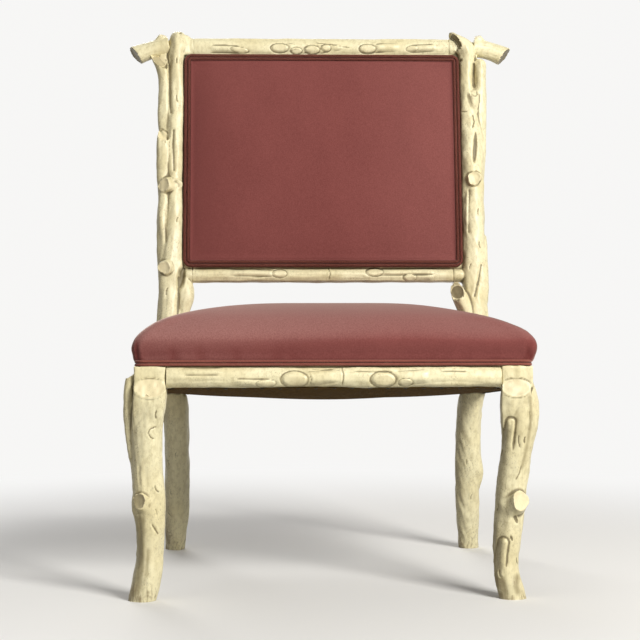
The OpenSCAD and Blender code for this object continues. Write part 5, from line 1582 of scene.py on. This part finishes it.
def corner_point(side, angle, w):
    """Point of the cushion's front corner: its way round the corner and its height."""
    d = float(np.interp(w, [1, 7, 14, 22, 31, 39], [-1.5, 0, 4.5, 8.5, 11.5, 12]))
    a = math.radians(angle)
    r = CORNER_R + d
    x, v = HALF_W - CORD_IN - CORNER_R, COVER_V0 + CORNER_R
    stretch = float(corner_stretch(w, side > 0))
    return side * (x + r * math.sin(a) + stretch * math.sin(a)), v - r * math.cos(a), w


def seat_cushion():
    points, faces = skin(cushion_rings())
    obj = remeshed(on_seat(points) * MM, faces, sizes().cushion_step)

    def held(p):
        w = seat_coords(p / MM)[:, 2]
        return np.clip(1 - (w - 6) / 10, 0, 1)

    pad = Padding(obj, stuffed(obj, held, cap=0.0035))
    pad.smooth(2)
    for side in (-1, 1):
        # way round the corner, lowest and highest point, lean, width and depth
        corner_folds = (
            (17, 5, 29 + 9 * side, 5, 2.9, 2.9 + 1.9 * side),
            (37, 5, 42, -2, 3.0, 4.3 - 0.7 * side),
            (62, 6, 34, -4, 3.0, 2.6),
            (84, 7, 26, -6, 2.8, 2.0),
        )
        for angle, low, high, lean, width, depth in corner_folds:
            pad.pleat([on_seat(corner_point(side, angle + lean * k / 6, low + (high - low) * k / 6))
                       for k in range(7)], width, depth)
        for x, depth in ((-90, 0.4), (60, 0.4), (150, 0.5), (205, 0.6), (248, 0.8)):
            pad.pleat([on_seat((side * x, 0, 6)), on_seat((side * (x + 6), -8, 30))], 6, depth)
        for v in (70, 150, 240, 330, 400):
            x = out_x(v)
            pad.pleat([on_seat((side * (x - 4), v, 6)), on_seat((side * (x + 6), v + 5, 30))], 6, 0.6)
    # the rear corners stop flat beside the posts
    q = seat_coords(pad.points)
    stop_x, stop_v = POST_IN - 1.5, POST_V0 - 1.5
    into_x = np.abs(q[:, 0]) - stop_x
    into_v = q[:, 1] - stop_v
    inside = (into_x > 0) & (into_v > 0)
    by_x = inside & (into_x < into_v)
    by_v = inside & ~by_x
    q[by_x, 0] = np.sign(q[by_x, 0]) * stop_x
    q[by_v, 1] = stop_v
    pad.points = on_seat(q)
    n = pad.normals()
    # Painted light: tops that face up are lighter, more so on the left, and the pleats are painted dark as
    # shade
    left = 1 - ease(pad.points[:, 0], -280, 160)
    nap = ease(n[:, 2], 0.2 - 0.75 * left, 1.0 - 0.25 * left) * (0.64 + 0.34 * left)
    return pad.finished("velvet_seat_cushion", nap * (1 - pad.fold_shade) - pad.fold_shade)


# Back panel: its lower and upper edge and middle, half its width and height, corners, rim and crown
PANEL_T0 = LOW_T + LOW_SHOW + COVER_GAP
PANEL_T1 = CREST_T - COVER_GAP
PANEL_MID = (PANEL_T0 + PANEL_T1) / 2
PANEL_HALF = PANEL_X - COVER_GAP
PANEL_TALL = (PANEL_T1 - PANEL_T0) / 2
PANEL_R = 14
RIM = 14
RIM_N = 14.8
BACK_CROWN = 17

# The back's cover is held where it lies nearer to the middle plane than this
HELD_N = 13.5


def panel_outline(d, arc=7, run=26):
    """Closed outline of the back panel drawn in by d, across and up."""
    r = max(2.0, PANEL_R - d)
    x, t = PANEL_HALF - d - r, PANEL_TALL - d - r
    corners = [(x, t), (-x, t), (-x, -t), (x, -t)]
    out = []
    for q, (cx, ct) in enumerate(corners):
        for a in np.linspace(0, math.pi / 2, arc):
            b = a + q * math.pi / 2
            out.append((cx + r * math.cos(b), ct + r * math.sin(b)))
        nx, nt = corners[(q + 1) % 4]
        b = (q + 1) * math.pi / 2
        a0 = np.array(out[-1])
        a1 = np.array((nx + r * math.cos(b), nt + r * math.sin(b)))
        out += [tuple(a0 + (a1 - a0) * u) for u in np.linspace(0, 1, run + 1)[1:-1]]
    return np.array(out)


def panel_points(outline, n):
    """Points of the leaning back over an outline of its panel, n behind its middle plane."""
    return np.column_stack([outline[:, 0], np.full(len(outline), n), PANEL_MID + outline[:, 1]])


def panel_inset(b):
    """How far points of the leaning back lie inside the panel's edge."""
    return np.minimum(PANEL_HALF - np.abs(b[:, 0]), PANEL_TALL - np.abs(b[:, 2] - PANEL_MID))


def back_cushion():
    edge = ((0.4, 11), (0.4, 12.8), (0.9, 14.2), (3.2, RIM_N), (7.5, RIM_N), (RIM - 2.6, RIM_N),
            (RIM - 1.7, RIM_N + 1.4), (RIM - 1.5, RIM_N + 4))
    rings = [panel_points(panel_outline(d), -n) for d, n in edge]
    for f in np.concatenate([np.linspace(0.995, 0.93, 5), np.linspace(0.9, 0.03, 30)]):
        ring = panel_points(panel_outline(RIM - 1.4) * f, -RIM_N)
        across = np.abs(ring[:, 0]) / (PANEL_HALF - RIM + 1.4)
        high = np.abs(ring[:, 2] - PANEL_MID) / (PANEL_TALL - RIM + 1.4)
        ring[:, 1] -= (BACK_CROWN - 1.5) * crown(across, 4) * crown(high, 4)
        rings.append(ring)
    points, faces = skin([r[::-1] for r in rings])
    obj = new_object("padding", mesh_of("padding", on_back(points), faces, MM))

    def held(p):
        b = back_coords(p / MM)
        return np.maximum((panel_inset(b) < RIM + 3) * 1.0, (b[:, 1] > -HELD_N) * 1.0)

    pad = Padding(obj, stuffed(obj, held, cap=0.003))
    b = back_coords(pad.points)
    pad.smooth(12, 0.5 * (ease(panel_inset(b), RIM + 3, RIM + 16) * (b[:, 1] < -HELD_N))[:, None])
    x = pad.points[:, 0]
    # Painted light: the panel's right part a little lighter and its left edge darker, as the light falls from
    # the right
    return pad.finished("velvet_back_cushion", 0.12 * ease(x, 0, 230) - 0.75 * (1 - ease(x, -236, -150)))


class Growth(Graph):
    """A tree of geometry nodes under construction, from a line to a mesh in one material."""

    def __init__(self, name, **inputs):
        super().__init__(bpy.data.node_groups.new(name, "GeometryNodeTree"))
        sockets = {"Geometry": "Geometry", **inputs, "Material": "Material"}
        for key, kind in sockets.items():
            self.tree.interface.new_socket(key.replace("_", " "), in_out="INPUT",
                                           socket_type="NodeSocket" + kind)
        self.tree.interface.new_socket("Geometry", in_out="OUTPUT", socket_type="NodeSocketGeometry")
        self.start = self.tree.nodes.new("NodeGroupInput")
        self.line = self.node("GeometryNodeMeshToCurve", Mesh=self.given("Geometry"))

    def given(self, name):
        return Sock(self.tree, self.start.outputs[name])

    def finish(self, geometry):
        """Ends the tree in one smooth mesh."""
        real = self.node("GeometryNodeRealizeInstances", Geometry=geometry)
        smooth = self.node("GeometryNodeSetShadeSmooth", Geometry=real)
        paint = self.node("GeometryNodeSetMaterial", Geometry=smooth, Material=self.given("Material"))
        end = self.tree.nodes.new("NodeGroupOutput")
        self.tree.links.new(paint.socket, end.inputs["Geometry"])
        return self.tree


def welt_tree():
    """Geometry nodes that sweep two cords, side by side, along a line. The three welts share them."""
    if "double_welt" in bpy.data.node_groups:
        return bpy.data.node_groups["double_welt"]
    graph = Growth("double_welt", Cord_Diameter="Float", Spacing="Float", Side="Vector")
    profile = graph.node("GeometryNodeCurvePrimitiveCircle", Resolution=16,
                         Radius=graph.given("Cord Diameter") * 0.5)
    join = graph.tree.nodes.new("GeometryNodeJoinGeometry")
    for sign in (-0.5, 0.5):
        shift = graph.node("ShaderNodeVectorMath", {"operation": "SCALE"}, i0=graph.given("Side"),
                           Scale=graph.given("Spacing") * sign)
        moved = graph.node("GeometryNodeSetPosition", Geometry=graph.line, Offset=shift)
        cord = graph.node("GeometryNodeCurveToMesh", Curve=moved, Profile_Curve=profile, Fill_Caps=True)
        graph.tree.links.new(cord.socket, join.inputs["Geometry"])
    return graph.finish(Sock(graph.tree, join.outputs["Geometry"]))


def tack_tree():
    """Geometry nodes that set domed tacks along a line."""
    graph = Growth("row_of_tacks", Tacks="Int", Head_Diameter="Float")
    spread = graph.node("GeometryNodeResampleCurve", Curve=graph.line, Count=graph.given("Tacks"))
    ball = graph.node("GeometryNodeMeshUVSphere", Segments=12, Rings=6,
                      Radius=graph.given("Head Diameter") * 0.5)
    head = graph.node("GeometryNodeTransform", Geometry=ball, Scale=(1, 1, 0.35))
    tacks = graph.node("GeometryNodeInstanceOnPoints", Points=spread, Instance=head)
    return graph.finish(tacks)


def grown(name, lines, tree, closed=False, **values):
    """Runs a tree of geometry nodes on lines of points, and keeps the mesh that it gives."""
    points, edges = [], []
    for line in lines:
        base = len(points)
        points += [tuple(p) for p in np.asarray(line) * MM]
        edges += [(base + i, base + i + 1) for i in range(len(line) - 1)]
        if closed:
            edges.append((base + len(line) - 1, base))
    mesh = bpy.data.meshes.new(name)
    mesh.from_pydata(points, edges, [])
    obj = new_object(name, mesh)
    mod = obj.modifiers.new("Grow", "NODES")
    mod.node_group = tree
    keys = {item.name: item.identifier for item in tree.interface.items_tree if item.in_out == "INPUT"}
    for key, value in values.items():
        mod[keys[key.replace("_", " ")]] = value
    return new_object(name, settled(obj, name))


def creased(obj, up, reach):
    """Notes on a welt where its cords turn away from the eye, between and beside each other, for the painted
    shade in these creases.
    """
    normals = coordinates(obj.data, "normal")
    add_layers(obj.data, crease=ease(np.abs(normals @ np.asarray(up)), *reach))
    return obj


def seat_welt():
    cord = sizes().seat_cord / MM
    plan = seat_plan(cord / 2 + COVER_GAP)
    order = np.roll(plan, -len(plan) // 2, axis=0)
    line = [p for p in order if p[1] < POST_V0 - 3]
    line = on_seat(np.column_stack([line, np.full(len(line), cord + 0.45)]))
    up = on_seat((0, 0, 1)) - on_seat((0, 0, 0))
    welt = grown("double_welt_seat", [line], welt_tree(), Cord_Diameter=sizes().seat_cord,
                 Spacing=sizes().seat_cord * 1.06, Side=tuple(up), Material=material("welt"))
    return creased(welt, up, (0.5, 0.93))


def back_welt(name, n):
    cord = sizes().back_cord / MM
    insets = cord / 2 + 0.1, cord * 1.5 + 0.2
    loops = [on_back(panel_points(panel_outline(d, arc=9, run=40), n)) for d in insets]
    welt = grown(name, loops, welt_tree(), closed=True, Cord_Diameter=sizes().back_cord, Spacing=0.0,
                 Side=(0, 0, 1), Material=material("welt"))
    forward = on_back((0, 1, 0)) - on_back((0, 0, 0))
    return creased(welt, forward, (0.62, 0.12))


# How far the dust cloth's edge stays inside the outer face of the rails
DUST_IN = 12


def cloth(name, points, faces, thickness):
    """Sheet of cloth over a net of faces."""
    obj = new_object(name, mesh_of("cloth", points, faces, MM))
    mod = obj.modifiers.new("Thickness", "SOLIDIFY")
    mod.thickness = thickness
    mod.offset = 0
    done = new_object(name, settled(obj, name))
    shade_smooth(done.data)
    return done


def dust_cover():
    """Thin cloth tacked under the seat frame, sagging between the rails, and its area."""
    v0, v1 = 10.0, REAR_V1 - 14
    nx, nv = 90, 70
    rng = np.random.default_rng(8)
    waves = [(rng.uniform(0.01, 0.05), rng.uniform(0.01, 0.05), rng.uniform(0, 6.28)) for _ in range(8)]
    grid = np.empty((nx + 1, nv + 1, 3))
    for i in range(nx + 1):
        for j in range(nv + 1):
            v = v0 + (v1 - v0) * j / nv
            x = (out_x(v) - DUST_IN) * (2 * i / nx - 1)
            a = min(1, abs(x) / (out_x(v) - RAIL_T))
            b = min(1, abs(2 * v - RAIL_T - REAR_V0) / (REAR_V0 - RAIL_T))
            slack = (1 - a * a) * (1 - b * b)
            ripple = sum(math.sin(x * p + v * q + r) for p, q, r in waves) * 0.35
            grid[i, j] = x, v, -RAIL_SHOW - 0.5 - 12.5 * slack ** 0.8 - ripple * slack ** 0.5
    keep = np.ones((nx + 1, nv + 1), bool)
    leg_x, leg_v = LEG_X - 30, LEG_W / 2 + 28
    keep &= ~((np.abs(grid[..., 0]) > leg_x) & (grid[..., 1] < leg_v))
    keep &= ~((np.abs(grid[..., 0]) > POST_IN - 3) & (grid[..., 1] > POST_V0 - 3))
    index = -np.ones(keep.shape, int)
    points, quads = [], []
    for i, j in np.argwhere(keep[:-1, :-1] & keep[1:, :-1] & keep[:-1, 1:] & keep[1:, 1:]).tolist():
        quad = []
        for a, b in ((i, j), (i, j + 1), (i + 1, j + 1), (i + 1, j)):
            if index[a, b] < 0:
                index[a, b] = len(points)
                points.append(grid[a, b])
            quad.append(int(index[a, b]))
        quads.append(quad)
    area = len(quads) * (2 * (out_x(230) - DUST_IN) / nx) * ((v1 - v0) / nv) * MM * MM
    return cloth("dust_cloth_under_seat", on_seat(np.array(points)), quads, 0.0006), float(area)


def dust_tacks():
    w = -RAIL_SHOW - 1.2
    edge = DUST_IN + 5
    front = [(x, 18, w) for x in np.linspace(-LEG_IN + 8, LEG_IN - 8, 40)]
    rear = [(x, REAR_V1 - 20, w) for x in np.linspace(-POST_IN + 10, POST_IN - 10, 40)]
    sides = [[(side * (out_x(v) - edge), v, w) for v in np.linspace(66, POST_V0 - 12, 40)]
             for side in (-1, 1)]
    lines = [on_seat(line) for line in (front, rear, *sides)]
    return grown("dust_cloth_tacks", lines, tack_tree(), Tacks=sizes().tacks, Head_Diameter=0.0062,
                 Material=material("steel"))


def outside_back():
    """Velvet stretched flat over the rear of the back."""
    shares = np.concatenate([np.linspace(1, 0.9, 5), np.linspace(0.85, 0.05, 14)])
    edge = panel_outline(COVER_GAP)
    rings = np.array([panel_points(edge * f, LAND_N + 1.2 + 1.2 * (1 - f ** 4)) for f in shares])
    count, sides = rings.shape[:2]
    points = np.vstack([rings.reshape(-1, 3), rings[-1].mean(0)])
    k = np.arange(sides)
    k2 = (k + 1) % sides
    faces = []
    for a, b in ((i * sides, (i + 1) * sides) for i in range(count - 1)):
        faces += np.stack([a + k, b + k, b + k2, a + k2], 1).tolist()
    middle, last = count * sides, (count - 1) * sides
    faces += [[last + a, middle, last + b] for a, b in zip(k.tolist(), k2.tolist())]
    return cloth("velvet_outside_back", on_back(points), faces, 0.0014)


# Operators

def painted(obj, grain, node):
    """Gives a carved piece the old paint, with its streaks along the grain."""
    return finish_piece(obj, material("paint_" + grain), "paint", node)


class Maker:
    """What the chair's operators share."""
    bl_options = {"REGISTER", "UNDO"}

    def execute(self, context):
        self.make()
        return {"FINISHED"}


class CHAIR_OT_front_legs(Maker, bpy.types.Operator):
    """Carve the two front legs"""
    bl_idname = "chair.front_legs"
    bl_label = "Front Legs"

    def make(self):
        painted(front_leg_left(), "z", "front_leg_left")
        painted(front_leg_right(), "z", "front_leg_right")


class CHAIR_OT_back_posts(Maker, bpy.types.Operator):
    """Carve the two back posts with their rear legs"""
    bl_idname = "chair.back_posts"
    bl_label = "Back Posts"

    def make(self):
        painted(back_post_left(), "z", "back_post_left")
        painted(back_post_right(), "z", "back_post_right")


class CHAIR_OT_seat_rails(Maker, bpy.types.Operator):
    """Carve the four seat rails"""
    bl_idname = "chair.seat_rails"
    bl_label = "Seat Rails"

    def make(self):
        painted(front_seat_rail(), "x", "front_seat_rail")
        left = ((150, -18, 11, 45), (240, -24, 8, -40), (360, -16, 10, -50))
        right = ((130, -22, 9, 40), (290, -17, 11, -48), (330, -24, 8, 42))
        painted(side_seat_rail(-1, left, 3), "y", "side_seat_rail_left")
        painted(side_seat_rail(1, right, 5), "y", "side_seat_rail_right")
        painted(rear_seat_rail(), "x", "rear_seat_rail")


class CHAIR_OT_back_rails(Maker, bpy.types.Operator):
    """Carve the crest rail, the lower back rail and the branch ends beside the crest"""
    bl_idname = "chair.back_rails"
    bl_label = "Back Rails"

    def make(self):
        painted(lower_back_rail(), "x", "lower_back_rail")
        painted(crest_rail(), "x", "crest_rail")
        painted(crest_stub(-1, 6, 1), "x", "crest_stub_left")
        painted(crest_stub(1, 2, 2), "x", "crest_stub_right")


class CHAIR_OT_seat_cushion(Maker, bpy.types.Operator):
    """Stuff the seat under its velvet"""
    bl_idname = "chair.seat_cushion"
    bl_label = "Seat Cushion"

    def make(self):
        obj = finish_piece(seat_cushion(), material("velvet"), "velvet", "seat_cover", "seat_foam")


class CHAIR_OT_back_cushion(Maker, bpy.types.Operator):
    """Stuff the padded back under its velvet"""
    bl_idname = "chair.back_cushion"
    bl_label = "Back Cushion"

    def make(self):
        obj = finish_piece(back_cushion(), material("velvet"), "velvet", "back_cover", "back_foam")


class CHAIR_OT_welts(Maker, bpy.types.Operator):
    """Lay the double welts round the seat and both faces of the back"""
    bl_idname = "chair.welts"
    bl_label = "Double Welts"

    def make(self):
        finish_piece(seat_welt(), material("welt"), "welt", "seat_welt")
        for end, n in (("front", -18.1), ("rear", 13.7)):
            welt = back_welt("double_welt_back_" + end, n)
            finish_piece(welt, material("welt"), "welt", "back_welt_" + end)


class CHAIR_OT_outside_back(Maker, bpy.types.Operator):
    """Stretch velvet over the rear of the back"""
    bl_idname = "chair.outside_back"
    bl_label = "Outside Back"

    def make(self):
        obj = finish_piece(outside_back(), material("velvet"), "velvet", "back_outside_cover")
        (PANEL_T1 - PANEL_T0) * MM


class CHAIR_OT_dust_cover(Maker, bpy.types.Operator):
    """Tack the thin cloth under the seat"""
    bl_idname = "chair.dust_cover"
    bl_label = "Dust Cover"

    def make(self):
        obj, area = dust_cover()
        finish_piece(obj, material("dust"), "dust_cloth", "dust_cover")
        tacks = finish_piece(dust_tacks(), material("steel"), "steel")


class CHAIR_OT_inner_parts(Maker, bpy.types.Operator):
    """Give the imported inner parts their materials"""
    bl_idname = "chair.inner_parts"
    bl_label = "Inner Parts"

    finishes = {"corner_blocks": "wood", "corner_block_screws": "steel", "seat_rail_dowels": "wood",
                "back_rail_dowels": "wood", "crest_stub_dowels": "wood", "seat_webbing": "jute",
                "back_webbing": "jute", "seat_hessian": "hessian", "back_hessian": "hessian"}

    def make(self):
        for node, key in self.finishes.items():
            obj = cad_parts[node]
            obj.data.materials.clear()
            obj.data.materials.append(material(key))


class CHAIR_OT_stage(Maker, bpy.types.Operator):
    """Set up the floor, the lights and the camera"""
    bl_idname = "chair.stage"
    bl_label = "Stage"

    def make(self):
        stage_floor()
        stage_lights()
        stage_camera()


def stage_floor():
    """Pale floor that curves up into a backdrop on every side."""
    rings = [(3.0, 0.0), (4.5, 0.0), (5.4, 0.25), (5.9, 0.9), (6.0, 2.0), (6.0, 6.0)]
    count = 72
    turns = [2 * math.pi * k / count for k in range(count)]
    points = [(0, 0, 0)]
    for radius, height in rings:
        points += [(radius * math.cos(turn), radius * math.sin(turn), height) for turn in turns]
    faces = [[0, 1 + k, 1 + (k + 1) % count] for k in range(count)]
    for i in range(len(rings) - 1):
        a, b = 1 + i * count, 1 + (i + 1) * count
        faces += [[a + k, b + k, b + (k + 1) % count, a + (k + 1) % count] for k in range(count)]
    floor = new_object("studio_floor", mesh_of("studio_floor", points, faces))
    shade_smooth(floor.data)
    box = Paintbox("studio_floor")
    box.set("Roughness", 0.9)
    # away from the chair the floor turns into an even pale backdrop, which lights nothing
    seen, shiny, through = [box.node("ShaderNodeLightPath", output="Is " + kind + " Ray")
                            for kind in ("Camera", "Glossy", "Transmission")]
    away = box.node("ShaderNodeVectorMath", {"operation": "LENGTH"}, output="Value", i0=box.coords)
    glow = box.node("ShaderNodeEmission", Color=(0.93, 0.925, 0.915, 1), Strength=1.0)
    viewed = (seen + shiny + through).clamp()
    box.set("Base Color", box.mix(viewed, (0.36, 0.35, 0.33), (0.82, 0.81, 0.79)))
    share = viewed * away.band(0.55, 1.5)
    mix = box.tree.nodes.new("ShaderNodeMixShader")
    box.tree.links.new(share.socket, mix.inputs[0])
    box.tree.links.new(box.shader.outputs[0], mix.inputs[1])
    box.tree.links.new(glow.socket, mix.inputs[2])
    box.tree.links.new(mix.outputs[0], box.out.inputs["Surface"])
    floor.data.materials.append(box.material)


def area_light(name, at, toward, size, power, colour=(1, 1, 1)):
    data = bpy.data.lights.new(name, "AREA")
    data.shape = "RECTANGLE"
    data.size, data.size_y = size
    data.energy = power
    data.color = colour
    obj = new_object(name, data)
    obj.location = at
    obj.rotation_euler = (Vector(toward) - Vector(at)).to_track_quat("-Z", "Y").to_euler()
    return obj


def stage_lights():
    world = bpy.context.scene.world or bpy.data.worlds.new("studio")
    bpy.context.scene.world = world
    world.use_nodes = True
    background = world.node_tree.nodes["Background"]
    background.inputs["Color"].default_value = (1.0, 1.0, 1.0, 1)
    background.inputs["Strength"].default_value = 0.3
    area_light("key", (2.0, -2.9, 2.35), (0, 0, 0.45), (1.3, 1.3), 178, (1.0, 0.985, 0.95))
    area_light("fill", (-2.8, -2.2, 1.8), (0, 0, 0.4), (2.2, 2.2), 10, (1.0, 0.98, 0.96))
    area_light("rear", (-0.8, 3.2, 2.6), (0, 0.2, 0.5), (2.0, 2.0), 60)


def stage_camera():
    """Camera where the photograph was taken from."""
    data = bpy.data.cameras.new("camera")
    data.sensor_width = 36
    data.lens = 100.3
    camera = new_object("camera", data)
    at, aim = Vector((-0.1186, -3.059, 0.5285)), Vector((-0.0225, -0.296, 0.4386))
    camera.location = at
    camera.rotation_euler = (aim - at).to_track_quat("-Z", "Y").to_euler()
    bpy.context.scene.camera = camera
    bpy.context.scene.view_settings.view_transform = "Standard"


OPERATORS = (CHAIR_OT_front_legs, CHAIR_OT_back_posts, CHAIR_OT_seat_rails, CHAIR_OT_back_rails,
             CHAIR_OT_seat_cushion, CHAIR_OT_back_cushion, CHAIR_OT_welts, CHAIR_OT_outside_back,
             CHAIR_OT_dust_cover, CHAIR_OT_inner_parts, CHAIR_OT_stage)


class CHAIR_PT_panel(bpy.types.Panel):
    """Lists the chair's pieces, colours and sizes"""
    bl_idname = "CHAIR_PT_panel"
    bl_label = "Branch Chair"
    bl_space_type = "VIEW_3D"
    bl_region_type = "UI"
    bl_category = "Branch Chair"

    def draw(self, context):
        for group in (context.scene.chair_look, context.scene.chair_sizes):
            box = self.layout.box()
            for key in group.__annotations__:
                box.prop(group, key)
        column = self.layout.column()
        for operator in OPERATORS:
            column.operator(operator.bl_idname)


CLASSES = (ChairLook, ChairSizes, *OPERATORS, CHAIR_PT_panel)


def register():
    for cls in CLASSES:
        bpy.utils.register_class(cls)
    bpy.types.Scene.chair_look = PointerProperty(type=ChairLook)
    bpy.types.Scene.chair_sizes = PointerProperty(type=ChairSizes)


def unregister():
    del bpy.types.Scene.chair_sizes
    del bpy.types.Scene.chair_look
    for cls in reversed(CLASSES):
        bpy.utils.unregister_class(cls)


def main():
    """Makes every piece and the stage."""
    register()
    for operator in OPERATORS:
        group, name = operator.bl_idname.split(".")
        getattr(getattr(bpy.ops, group), name)()


if __name__ == "__main__":
    main()
